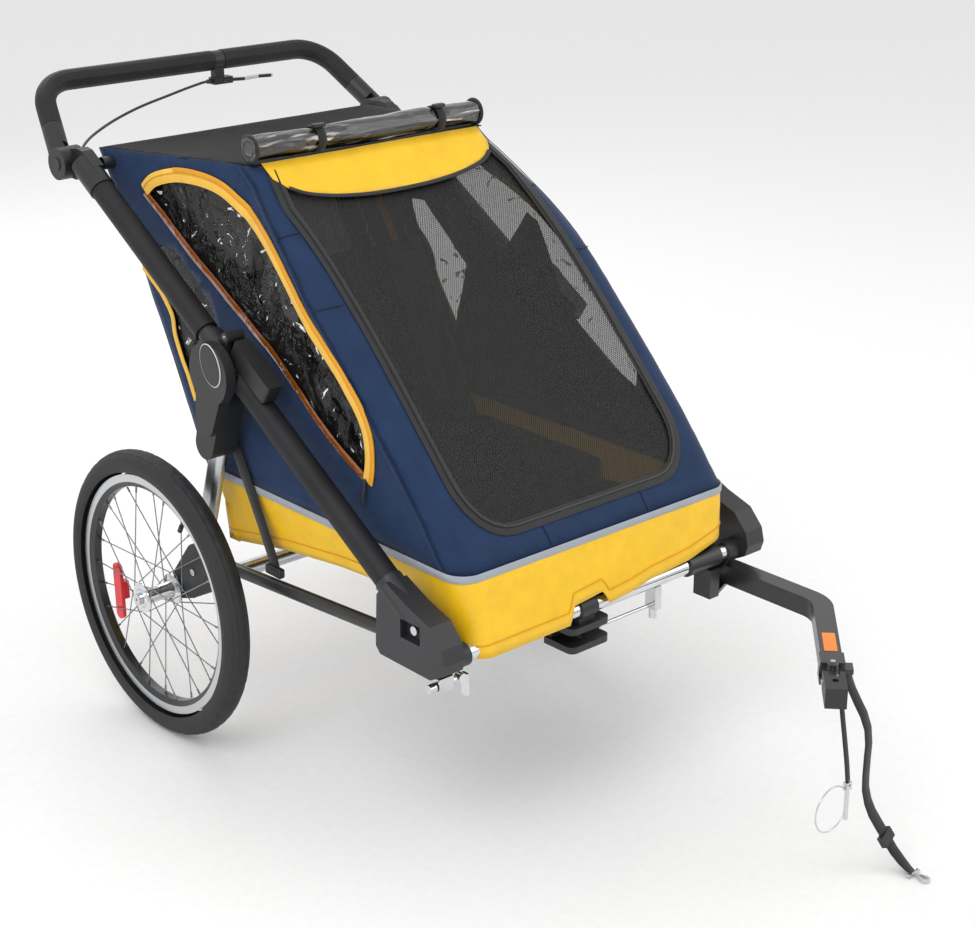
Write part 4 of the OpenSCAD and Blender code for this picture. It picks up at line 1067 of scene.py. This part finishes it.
class TRAILER_OT_cabin(bpy.types.Operator):
    """Cuts and lays the cloth of the cabin: sides, nose, roof and rear"""

    bl_idname = "trailer.cabin"
    bl_label = "Cabin Cloth"

    def execute(self, context):
        pitch = sizes().cloth_pitch
        # Nose: a sheet that wraps round both rounded edges
        rows = [STRIP_Z + (0.985 - STRIP_Z) * k / 20 for k in range(21)]
        outline = [(edge_w(z), z) for z in rows] + [(-edge_w(z), z) for z in reversed(rows)]
        window = front_outline()
        nose = cabin_sheet(
            "nose_cloth", outline, [window], pitch, on_front(), "navy", ["front_panel"],
            outward=FORWARD_UP,
        )
        cabin_sheet(
            "front_window_mesh", front_outline(-0.001), [], pitch * 1.4, on_front(0.0, -0.002), "mesh",
            ["mesh_window"], thick=0.0, outward=FORWARD_UP,
        )
        for side, hand in SIDES:
            self.side(side, hand, pitch)
        for tag, line in (
            ("right", [(-0.228, 0.905), (-0.262, 0.900), (-0.300, 0.892)]),
            ("left", [(0.228, 0.905), (0.262, 0.900), (0.300, 0.892)]),
            ("shoulder_right", [(-0.244, 0.815), (-0.275, 0.812), (-0.305, 0.806)]),
            ("shoulder_left", [(0.244, 0.815), (0.275, 0.812), (0.305, 0.806)]),
            ("foot_right", [(-0.105, 0.508), (-0.104, 0.496), (-0.104, 0.482)]),
            ("foot_left", [(0.105, 0.508), (0.104, 0.496), (0.104, 0.482)]),
        ):
            cabin_tape(
                f"nose_dart_{tag}", flat_curve(line, 6), on_front(), 0.0022, 0.0012, 0.0010, "stitch", FORWARD_UP
            )
        self.roof(pitch)
        self.rear(pitch)
        return {"FINISHED"}

    def side(self, side, hand, pitch):
        """One side: its cloth with two clear windows, and the tapes and seams round them."""
        hole = pairs(curve_through(SIDE_ZIP, 4) + curve_through(list(reversed(SIDE_AMBER)), 4)[1:-1])
        quarter = flat_curve(QUARTER, 4, closed=True)
        out = (side, 0, 0)
        # One framed node stands for both sides, and the right-hand pieces replace it
        first = side < 0
        cloth = cabin_sheet(
            f"side_cloth_{hand}", side_region(), [hole, quarter], pitch, on_side(side), "navy",
            ["side_panels"] if first else (), outward=out,
        )
        cabin_sheet(
            f"side_window_film_{hand}", hole, [], pitch, on_side(side, 0.004, 0.004), "vinyl",
            ["side_windows"] if first else (), thick=0.0, outward=out,
        )
        cabin_sheet(
            f"quarter_window_film_{hand}", quarter, [], pitch, on_side(side, 0.003, 0.003), "vinyl",
            (), thick=0.0, outward=out,
        )
        place = on_side(side)
        zipper = flat_curve(SIDE_ZIP, 5)
        edge = [(nose_y(z) + CORNER_R, z) for z in [STRIP_Z + 0.004 + 0.502 * k / 40 for k in range(41)]]
        # Zipper tape, the darker cover flap along its outer edge and the sewn line beside it
        cabin_tape(f"side_zipper_tape_{hand}", zipper, place, 0.023, 0.002, 0.0012, "zip_light", out)
        cover = beside(zipper, 0.0085)[10:]
        cabin_tape(f"side_zipper_cover_{hand}", cover, place, 0.008, 0.002, 0.0028, "zip_dark", out)
        seam = beside(zipper, 0.0035)
        cabin_tape(f"side_zipper_seam_{hand}", seam, place, 0.0016, 0.0016, 0.0030, "zip_dark", out)
        y, z = SIDE_ZIP[-1]
        pull = [place(y + 0.004, z + 0.004 - 0.012 * k) + Vector((side * (0.004 + 0.002 * k), 0, 0)) for k in range(4)]
        cabin_piece(sweep(f"side_zipper_pull_{hand}", pull, strap_section(0.007, 0.002), out, "abs"))
        for name, line, width, thick, lift, look in (
            ("side_amber_binding", flat_curve(SIDE_AMBER, 5), 0.013, 0.0018, 0.0012, "amber"),
            ("quarter_piping", flat_curve(WAVY, 5), 0.009, 0.004, 0.002, "zip_light"),
            ("nose_seam", edge, 0.007, 0.0024, 0.0012, "navy"),
            ("nose_stitch", beside(edge, -0.006), 0.0014, 0.0012, 0.0014, "stitch"),
        ):
            cabin_tape(f"{name}_{hand}", line, place, width, thick, lift, look, out)

    def roof(self, pitch):
        outline = [(-0.236, -0.150), (0.236, -0.150), (0.262, 0.02), (0.284, 0.222), (-0.284, 0.222), (-0.262, 0.02)]

        def place(x, y):
            z = 0.988 - 0.023 * (y + 0.150) / 0.372
            dip = 0.008 * max(0.0, 1 - (x / 0.25) ** 2) * max(0.0, 1 - ((y - 0.036) / 0.186) ** 2)
            return Vector((x, y + AXLE, z - dip + 0.001 * ripple((x, y, 2.0), 0.09, 6.0)))

        cabin_sheet(
            "roof_cloth", outline, [], pitch, place, "black_cloth", ["top_panel"],
            outward=(0, 0, 1),
        )

    def rear(self, pitch):
        def place(x, z):
            y = between(TAIL, z) + 0.0015 * ripple((x, z, 8.0), 0.1, 2.0)
            return Vector((x, y + AXLE, z))

        rows = [STRIP_Z + (0.965 - STRIP_Z) * k / 12 for k in range(13)]
        outline = [(half_width(between(TAIL, z), z), z) for z in rows]
        outline += [(-x, z) for x, z in reversed(outline)]
        window = [(-0.142, 0.70), (0.142, 0.70), (0.146, 0.89), (-0.146, 0.89)]
        window = pairs(rounded(window, 0.04))
        rear = cabin_sheet(
            "rear_cloth", outline, [window], pitch, place, "navy", ["rear_panel"],
            outward=REARWARD,
        )
        # Rear window mesh: its pale colour is painted daylight from behind
        cabin_sheet(
            "rear_mesh_lining", window, [], pitch, place, "pale_painted_daylight", (),
            thick=0.001, outward=REARWARD,
        )
        tape = pairs(even(window, 0.012))
        cabin_tape("rear_window_binding", tape, place, 0.012, 0.0018, 0.0012, "binding", REARWARD, closed=True)


class TRAILER_OT_tub(bpy.types.Operator):
    """Makes the coated lower band with its reflective strip"""

    bl_idname = "trailer.tub"
    bl_label = "Lower Band"

    def execute(self, context):
        r = 0.036
        ring = []
        # Plan outline, as (x, y, side's share along the bottom)
        nose, tail, half = -0.692, -0.056, 0.288
        for k in range(9):
            a = math.pi / 2 * k / 8
            ring.append((-half + r * (1 - math.cos(a)), nose + r * (1 - math.sin(a))))
        ring += [(-half + r + (2 * half - 2 * r) * k / 72, nose) for k in range(1, 72)]
        for k in range(8, -1, -1):
            a = math.pi / 2 * k / 8
            ring.append((half - r * (1 - math.cos(a)), nose + r * (1 - math.sin(a))))
        depth = tail - nose - r - 0.02
        ring += [(half, nose + r + depth * k / 30) for k in range(1, 30)]
        ring += [(half, tail - 0.02), (half - 0.02, tail)]
        ring += [(half - 0.02 - (2 * half - 0.04) * k / 20, tail) for k in range(1, 20)]
        ring += [(-half + 0.02, tail), (-half, tail - 0.02)]
        ring += [(-half, tail - 0.02 - depth * k / 30) for k in range(1, 30)]
        # Height of the hem along each side, and across the front, where it drops in front of the cross tube,
        # is notched over the centre bracket and rises at the arm's corner
        hem = (
            (-0.640, 0.374), (-0.560, 0.398), (-0.488, 0.408), (-0.397, 0.402), (-0.252, 0.384), (-0.114, 0.358),
            (-0.056, 0.356),
        )
        front_hem = (
            (-0.288, 0.352), (-0.088, 0.353), (-0.078, 0.380), (-0.010, 0.386), (-0.002, 0.364), (0.050, 0.368),
            (0.100, 0.376), (0.190, 0.382), (0.288, 0.402),
        )

        def hem_at(x, y):
            share = max(0.0, min(1.0, (-0.600 - y) / 0.050))
            return between(hem, y) * (1 - share) + between(front_hem, x) * share

        def band_at(x, y, t):
            z = STRIP_Z + (hem_at(x, y) - STRIP_Z) * t
            down = STRIP_Z - z
            lean_x = 0.012 * t * (1 if x < 0 else -1) * min(1.0, abs(x) / 0.25)
            share = max(0.0, min(1.0, (-0.650 - y) / 0.036))
            lean_y = -0.17 * down * share - (0.045 * t if y > -0.08 else 0.0)
            wave = 0.0024 * ripple((x, y, z), 0.07, 11.0) * math.sin(math.pi * min(1.0, t * 1.2))
            flat = Vector((x / 0.288, (y + 0.374) / 0.318, 0)).normalized()
            return Vector((x + lean_x + flat.x * wave, y + lean_y + flat.y * wave + AXLE, z))

        levels = 9
        verts, uvs, faces = [], [], []
        run = 0.0
        for i, (x, y) in enumerate(ring):
            if i:
                run += math.dist(ring[i - 1], (x, y))
            for k in range(levels):
                t = k / (levels - 1)
                verts.append(band_at(x, y, t))
                uvs.append((run, verts[-1].z))
        n = len(ring)
        for i in range(n):
            j = (i + 1) % n
            for k in range(levels - 1):
                faces.append((i * levels + k, i * levels + k + 1, j * levels + k + 1, j * levels + k))
        band = link("lower_band_cloth", verts, faces, "yellow", uvs=uvs)
        turn_out(band)
        apply_modifier(band, "SOLIDIFY", thickness=0.0018, offset=-1.0)
        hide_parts("lower_tub")
        floor = [(-0.246, -0.698), (0.246, -0.698), (0.274, -0.672), (0.277, -0.09), (-0.277, -0.09), (-0.274, -0.672)]

        def floor_place(x, y):
            return Vector((x, y + AXLE, max(between(hem, y), 0.384) + 0.007 + 0.0015 * ripple((x, y, 0.0), 0.12, 7.0)))

        under = cut_cloth("cabin_floor", floor, [], 0.03, floor_place, "black_cloth", 0.003, (0, 0, -1))
        # Sewn line a little above the hem
        line, facing = [], []
        for x, y in ring:
            flat = Vector((round_in(x / 0.288), round_in((y + 0.374) / 0.318), 0)).normalized()
            line.append(band_at(x, y, 1 - 0.020 / (STRIP_Z - hem_at(x, y))) + flat * 0.0010)
            facing.append(flat)
        seam = sweep("band_seam", line, strap_section(0.0016, 0.0016), facing, "zip_dark", closed=True)
        ring3 = [Vector((x, y + AXLE, STRIP_Z - 0.003)) for x, y in ring]
        outs = [Vector((x / 0.288, (y + 0.374) / 0.318, 0)).normalized() for x, y in ring]
        outs = [Vector((round_in(o.x), round_in(o.y), 0)).normalized() for o in outs]
        path = [p + o * 0.0016 for p, o in zip(ring3, outs)]
        tape = sweep("reflective_strip", path, strap_section(0.012, 0.0022), outs, "reflective", closed=True)
        return {"FINISHED"}


class TRAILER_OT_trim(bpy.types.Operator):
    """Adds the window's binding, the yellow header flap and the rolled rain cover"""

    bl_idname = "trailer.trim"
    bl_label = "Trim and Rain Cover"

    def execute(self, context):
        place = on_front()
        out = FORWARD_UP
        for name, width, thick, lift, look, grow in (
            ("front_window_tape", 0.020, 0.0020, 0.0012, "binding", 0.004),
            ("front_window_zip", 0.0055, 0.0030, 0.0026, "label", 0.001),
        ):
            line = pairs(even(front_outline(grow), 0.012, closed=False))
            cabin_piece(lay_tape(name, line, place, width, thick, lift, look, out))
        flap = [
            (-0.222, 0.986), (-0.221, 0.966), (-0.208, 0.953), (-0.180, 0.943), (-0.130, 0.936), (-0.070, 0.932),
            (0.0, 0.931),
        ]
        flap += [(-x, z) for x, z in reversed(flap[:-1])]
        cloth = cut_cloth("header_flap", flap, [], 0.009, on_front(0.0008, 0.0045), "yellow", 0.0016, out)
        cabin_piece(cloth)
        hem = flat_curve(flap[2:-2], 4)
        cabin_tape("header_flap_binding", hem, on_front(0.0008, 0.0045), 0.007, 0.003, 0.0006, "binding", out)
        self.roll()
        return {"FINISHED"}

    def roll(self):
        """The clear cover rolled up over the nose: wound film, bound ends and two tie straps."""
        centre = Vector((0, -0.135 + AXLE, 1.010))
        length, radius = 0.470, 0.0225
        rings, sides = 48, 36
        verts, uvs, faces = [], [], []
        for i in range(rings + 1):
            x = -length / 2 + length * i / rings
            pinch = 1.0 - 0.16 * (math.exp(-(((x + 0.105) / 0.012) ** 2)) + math.exp(-(((x - 0.145) / 0.012) ** 2)))
            for k in range(sides):
                a = 2 * math.pi * k / sides
                lump = 0.88 + 0.12 * noise.noise(Vector((x * 9, math.cos(a) * 1.4, math.sin(a) * 1.4)))
                lump += 0.05 * noise.noise(Vector((x * 30, math.cos(a) * 3, math.sin(a) * 3)))
                step = 0.05 if 0.3 < a < 0.6 else 0.0
                r = radius * pinch * (lump + step)
                verts.append(centre + Vector((x, r * math.cos(a), r * math.sin(a))))
                uvs.append((x, a * radius))
        for i in range(rings):
            for k in range(sides):
                j = (k + 1) % sides
                faces.append((i * sides + k, i * sides + j, (i + 1) * sides + j, (i + 1) * sides + k))
        faces.append(tuple(range(sides)))
        faces.append(tuple(range(rings * sides, (rings + 1) * sides))[::-1])
        cover = link("rolled_rain_cover", verts, faces, "smoky", uvs=uvs, smooth_angle=50)
        turn_out(cover)
        cabin_piece(cover, "rain_cover_roll")
        for side, hand in SIDES:
            for turn in range(2):
                radius_end = 0.0232 - 0.0075 * turn
                bpy.ops.mesh.primitive_torus_add(
                    major_radius=radius_end - 0.003, minor_radius=0.0032, major_segments=40, minor_segments=10,
                    location=centre + Vector((side * (length / 2 - 0.003), 0, 0)), rotation=(0, math.pi / 2, 0),
                )
                cabin_piece(primitive_piece(f"rain_cover_end_{hand}_{turn}", "binding"))
        for x, hand in ((-0.105, "right"), (0.145, "left")):
            loop = [centre + Vector((x, 0.0205 * math.cos(a), 0.0205 * math.sin(a))) for a in steps_round(28)]
            outs = [Vector((0, math.cos(a), math.sin(a))) for a in steps_round(28)]
            tie = sweep(f"rain_cover_tie_{hand}", loop, strap_section(0.016, 0.0022), outs, "webbing", closed=True)
            cabin_piece(tie)
            bpy.ops.mesh.primitive_cube_add(
                size=1, location=centre + Vector((x, -0.010, 0.0225)), scale=(0.022, 0.012, 0.006)
            )
            buckle = primitive_piece(f"rain_cover_toggle_{hand}", "abs")
            apply_modifier(buckle, "BEVEL", width=0.0018, segments=3)
            cabin_piece(buckle)


class TRAILER_OT_seat(bpy.types.Operator):
    """Makes the padded seat, its back and the harness"""

    bl_idname = "trailer.seat"
    bl_label = "Seat and Harness"

    def execute(self, context):
        low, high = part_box("seat_base")
        pad = cushion("seat_cushion", low, high, "black_cloth")
        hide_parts("seat_base")
        for side, hand in SIDES:
            pad = back_pad(f"seat_back_{hand}", SEAT_FOOT + Vector((side * 0.127, 0, 0)), 0.116, 0.345, "black_cloth")
            cabin_piece(pad)
            if side < 0:
                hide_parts("seat_back")
            for at, tag in ((-0.047, "outer"), (0.047, "inner")):
                x = side * 0.132 + side * -at
                # How far up the back, and how far in front of it
                lie = ((0.04, 0.012), (0.10, 0.014), (0.17, 0.013), (0.24, 0.012), (0.30, 0.010), (0.335, 0.004))
                path = [SEAT_FOOT + Vector((x, 0, 0)) + SEAT_UP * t - SEAT_BEHIND * off for t, off in lie]
                strap = sweep(
                    f"harness_strap_{hand}_{tag}", curve_through(path, 4), strap_section(0.036, 0.0025),
                    tuple(-SEAT_BEHIND), "webbing",
                )
                cabin_piece(strap)
                if side < 0 and tag == "outer":
                    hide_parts("harness")
        return {"FINISHED"}


class TRAILER_OT_lining(bpy.types.Operator):
    """Adds the dark lining of the cabin, which also stands in for the shade inside it, the pale rear windows seen
    through the mesh as strips of painted daylight, and the yellow tabs
    """

    bl_idname = "trailer.lining"
    bl_label = "Lining"

    def execute(self, context):
        pitch = sizes().cloth_pitch * 2
        # Dark wing beside the seat, also standing in for the shade inside the cabin: it stops short of the window's
        # upper edge and is open at the quarter window
        for side, hand in SIDES:
            low = [(nose_y(z) + CORNER_R + 0.02, z) for z in (STRIP_Z + 0.01, 0.53, 0.565)]
            outline = low + [
                (-0.430, 0.620), (-0.400, 0.640), (-0.318, 0.712), (-0.292, 0.772), (-0.262, 0.838), (-0.240, 0.850),
                (-0.186, 0.774), (-0.110, 0.826), (-0.066, 0.856), (-0.030, 0.935), (0.110, 0.925), (0.150, 0.850),
                (0.105, 0.760), (0.035, 0.620), (-0.048, 0.485),
            ]
            gap = [(0.074, 0.818), (0.030, 0.824), (-0.083, 0.727), (-0.037, 0.600), (0.018, 0.660)]
            cloth = cut_cloth(
                f"side_lining_{hand}", outline, [pairs(rounded(gap, 0.006, 3))], pitch,
                on_side(side, 0.014, 0.004), "lining", 0.001, (-side, 0, 0),
            )
            cabin_piece(cloth)

        def on_back(depth):
            def place(x, t):
                off = depth + 0.002 * ripple((x, t, 1.0), 0.08, 2.0)
                return SEAT_FOOT + Vector((x, 0, 0)) + SEAT_UP * t - SEAT_BEHIND * off

            return place

        # Dark panel behind the seat's back, which also stands in for the shade inside the cabin
        panel = [(-0.270, 0.0), (0.270, 0.0), (0.268, 0.340), (-0.268, 0.340)]
        cloth = cut_cloth("seat_back_lining", panel, [], pitch, on_back(-0.020), "lining", 0.001, (0, -1, 0.3))
        cabin_piece(cloth)
        # Strips that hang down the inside of the rear cloth, one pale and one yellow on each side: the pale one is
        # painted daylight from the rear window, the yellow one webbing
        for side, hand in SIDES:
            for x, wide, look, tag in ((0.186, 0.007, "window_light", "pale"), (0.236, 0.017, "zip_dark", "yellow")):
                path = [
                    Vector((side * x, between(TAIL, z) + AXLE - 0.006 - 0.002 * math.sin(k), z))
                    for k, z in enumerate((0.905, 0.885, 0.865, 0.845, 0.825, 0.805, 0.785, 0.765, 0.745, 0.725))
                ]
                strip = sweep(f"rear_strip_{tag}_{hand}", path, strap_section(wide, 0.0016), (0, -1, 0.4), look)
                cabin_piece(strip)
        # Dark header inside the top of the rear cloth, which also stands in for the shade there
        yoke = [(-0.252, 0.902), (0.252, 0.902), (0.250, 0.935), (-0.250, 0.935)]
        cloth = cut_cloth(
            "rear_inner_header", yoke, [], 0.03,
            lambda x, z: Vector((x, between(TAIL, z) + AXLE - 0.010, z)), "lining", 0.001, (0, -1, 0.4),
        )
        cabin_piece(cloth)
        return {"FINISHED"}


class TRAILER_OT_straps(bpy.types.Operator):
    """Makes the webbing that ties the cabin's sides to the rails"""

    bl_idname = "trailer.straps"
    bl_label = "Side Straps"

    def execute(self, context):
        for side, hand in SIDES:
            x = side * 0.2935
            route = [(x, -0.138, 0.552), (x, -0.165, 0.505), (x, -0.196, 0.450), (x, -0.222, 0.402), (x, -0.240, 0.366),
                     (side * 0.2945, -0.246, 0.352)]
            path = curve_through(behind_axle(route), 5)
            strap = sweep(f"side_strap_webbing_{hand}", path, strap_section(0.026, 0.0024), (side, 0, 0), "webbing")
            if side < 0:
                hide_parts("side_straps")
            bpy.ops.mesh.primitive_cube_add(
                size=1, location=(side * 0.2965, -0.247 + AXLE, 0.352), scale=(0.012, 0.040, 0.016)
            )
            clip = primitive_piece(f"side_strap_clip_{hand}", "abs")
            apply_modifier(clip, "BEVEL", width=0.003, segments=3)
        return {"FINISHED"}


class TRAILER_OT_labels(bpy.types.Operator):
    """Adds the plain plates on the folding discs, the fold pads' white lines and the arm's orange label"""

    bl_idname = "trailer.labels"
    bl_label = "Plain Labels"

    def execute(self, context):
        for side, hand in SIDES:
            low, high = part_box("leg_housings")
            centre = Vector((side * (high.x + 0.0004), 0.157, 0.7005))
            # A thin white line round a black plate
            for tag, look, tall, wide, proud in (
                ("rim", "white_line", 0.0700, 0.0500, 0.0),
                ("plate", "label", 0.0676, 0.0476, 0.0005),
            ):
                bpy.ops.mesh.primitive_cylinder_add(
                    vertices=64, radius=0.5, depth=0.0016, location=centre + Vector((side * proud, 0, 0)),
                    rotation=(0, math.pi / 2, 0),
                )
                piece = bpy.context.active_object
                choose(piece)
                bpy.ops.object.transform_apply(location=True, rotation=True, scale=True)
                open_mesh_edit("SELECT")
                bpy.ops.transform.resize(value=(1, wide, tall), center_override=centre)
                bpy.ops.transform.rotate(value=math.radians(24), orient_axis="X", center_override=centre)
                close_mesh_edit()
                piece = primitive_piece(f"disc_{tag}_{hand}", look)
                apply_modifier(piece, "BEVEL", width=0.0004, segments=2, limit_method="ANGLE")
        # Plain orange label along the last straight of the tow arm
        low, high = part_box("tow_arm")
        bpy.ops.mesh.primitive_cube_add(
            size=1, location=(0.194, -0.635, high.z - 0.0025 + 0.0003), rotation=(0, 0, math.atan2(0.682, 0.7315)),
            scale=(0.062, 0.020, 0.0008),
        )
        piece = primitive_piece("arm_label", "orange", "tow_arm")
        apply_modifier(piece, "BEVEL", width=0.0003, segments=2)
        return {"FINISHED"}


class TRAILER_OT_tyres(bpy.types.Operator):
    """Makes the tyres with their grooved tread and ribbed walls"""

    bl_idname = "trailer.tyres"
    bl_label = "Tyres"

    def execute(self, context):
        depth = sizes().tread_depth
        for side, hand in SIDES:
            self.tyre(side, hand, depth)
        return {"FINISHED"}

    def tyre(self, side, hand, depth):
        centre = Vector((side * 0.365, AXLE, 0.25))
        section_r, ring_r = 0.0230, 0.227
        bpy.ops.mesh.primitive_torus_add(
            major_radius=ring_r, minor_radius=section_r, major_segments=288, minor_segments=64,
            location=centre, rotation=(0, math.pi / 2, 0),
        )
        tyre = primitive_piece(f"tyre_tread_{hand}", "rubber", f"wheel_{hand}", 28)

        def mark(test):
            """Selects the points that pass a test of their angle from the crown and their step of the tread."""
            for v in tyre.data.vertices:
                v.select = test(*self.place(v.co, centre, ring_r))

        choose(tyre)
        open_mesh_edit()
        bpy.ops.mesh.select_mode(type="VERT")
        bpy.ops.mesh.select_all(action="DESELECT")
        close_mesh_edit()
        # Open the torus towards the rim
        mark(lambda across, cell: across > 128)
        open_mesh_edit()
        bpy.ops.mesh.delete(type="VERT")
        bpy.ops.mesh.select_all(action="DESELECT")
        close_mesh_edit()
        # Two grooves on each side of the middle, with cross cuts between them
        mark(
            lambda across, cell: 14 < across < 21
            or 36 < across < 42
            or (cell == 0 and 20 < across < 52)
            or (cell == 3 and across < 14)
        )
        open_mesh_edit()
        bpy.ops.transform.shrink_fatten(value=-depth)
        bpy.ops.mesh.select_all(action="DESELECT")
        close_mesh_edit()
        # Raised lines on the walls
        mark(lambda across, cell: 83 < across < 88 or 105 < across < 110)
        open_mesh_edit()
        bpy.ops.transform.shrink_fatten(value=0.0006)
        close_mesh_edit()
        apply_modifier(tyre, "SOLIDIFY", thickness=0.002, offset=-1.0)
        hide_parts(f"tyre_{hand}")
        a = math.radians(120)
        inner = centre + Vector((0, math.cos(a), math.sin(a))) * 0.162
        outer = centre + Vector((0, math.cos(a), math.sin(a))) * 0.1875
        for tag, start_at, end_at, r in (("stem", 0.0, 1.0, 0.003), ("cap", -0.1, 0.42, 0.0042)):
            path = [inner.lerp(outer, start_at + (end_at - start_at) * k / 4) for k in range(5)]
            valve = sweep(f"valve_{tag}_{hand}", path, round_section(r, 14), (1, 0, 0), "abs", f"wheel_{hand}")

    def place(self, co, centre, ring_r):
        """Angle from the crown round the tyre's section, and which of six steps of the tread."""
        p = co - centre
        reach = math.hypot(p.y, p.z)
        across = math.degrees(math.atan2(abs(p.x), reach - ring_r))
        turn = math.atan2(p.z, p.y) / (2 * math.pi) * 288
        return across, round(turn) % 6


class TRAILER_PT_panel(bpy.types.Panel):
    """Lists the trailer's settings and steps"""

    bl_label = "Child Trailer"
    bl_idname = "TRAILER_PT_panel"
    bl_space_type = "VIEW_3D"
    bl_region_type = "UI"
    bl_category = "Trailer"

    def draw(self, context):
        for group in (context.scene.trailer_colours, context.scene.trailer_sizes):
            for name in group.__annotations__:
                self.layout.prop(group, name)
        for step in STEPS:
            self.layout.operator(step.bl_idname)


STEPS = (
    TRAILER_OT_stage,
    TRAILER_OT_finishes,
    TRAILER_OT_cords,
    TRAILER_OT_cabin,
    TRAILER_OT_tub,
    TRAILER_OT_trim,
    TRAILER_OT_seat,
    TRAILER_OT_lining,
    TRAILER_OT_straps,
    TRAILER_OT_labels,
    TRAILER_OT_tyres,
)
CLASSES = (TrailerColours, TrailerSizes, *STEPS, TRAILER_PT_panel)


def register():
    for made in CLASSES:
        bpy.utils.register_class(made)
    bpy.types.Scene.trailer_colours = bpy.props.PointerProperty(type=TrailerColours)
    bpy.types.Scene.trailer_sizes = bpy.props.PointerProperty(type=TrailerSizes)


def unregister():
    del bpy.types.Scene.trailer_colours
    del bpy.types.Scene.trailer_sizes
    for made in reversed(CLASSES):
        bpy.utils.unregister_class(made)


def main():
    register()
    bpy.ops.trailer.stage()
    bpy.ops.trailer.finishes()
    bpy.ops.trailer.cords()
    bpy.ops.trailer.cabin()
    bpy.ops.trailer.tub()
    bpy.ops.trailer.trim()
    bpy.ops.trailer.seat()
    bpy.ops.trailer.lining()
    bpy.ops.trailer.straps()
    bpy.ops.trailer.labels()
    bpy.ops.trailer.tyres()
    for piece in CABIN:
        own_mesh(piece)


if __name__ == "__main__":
    main()
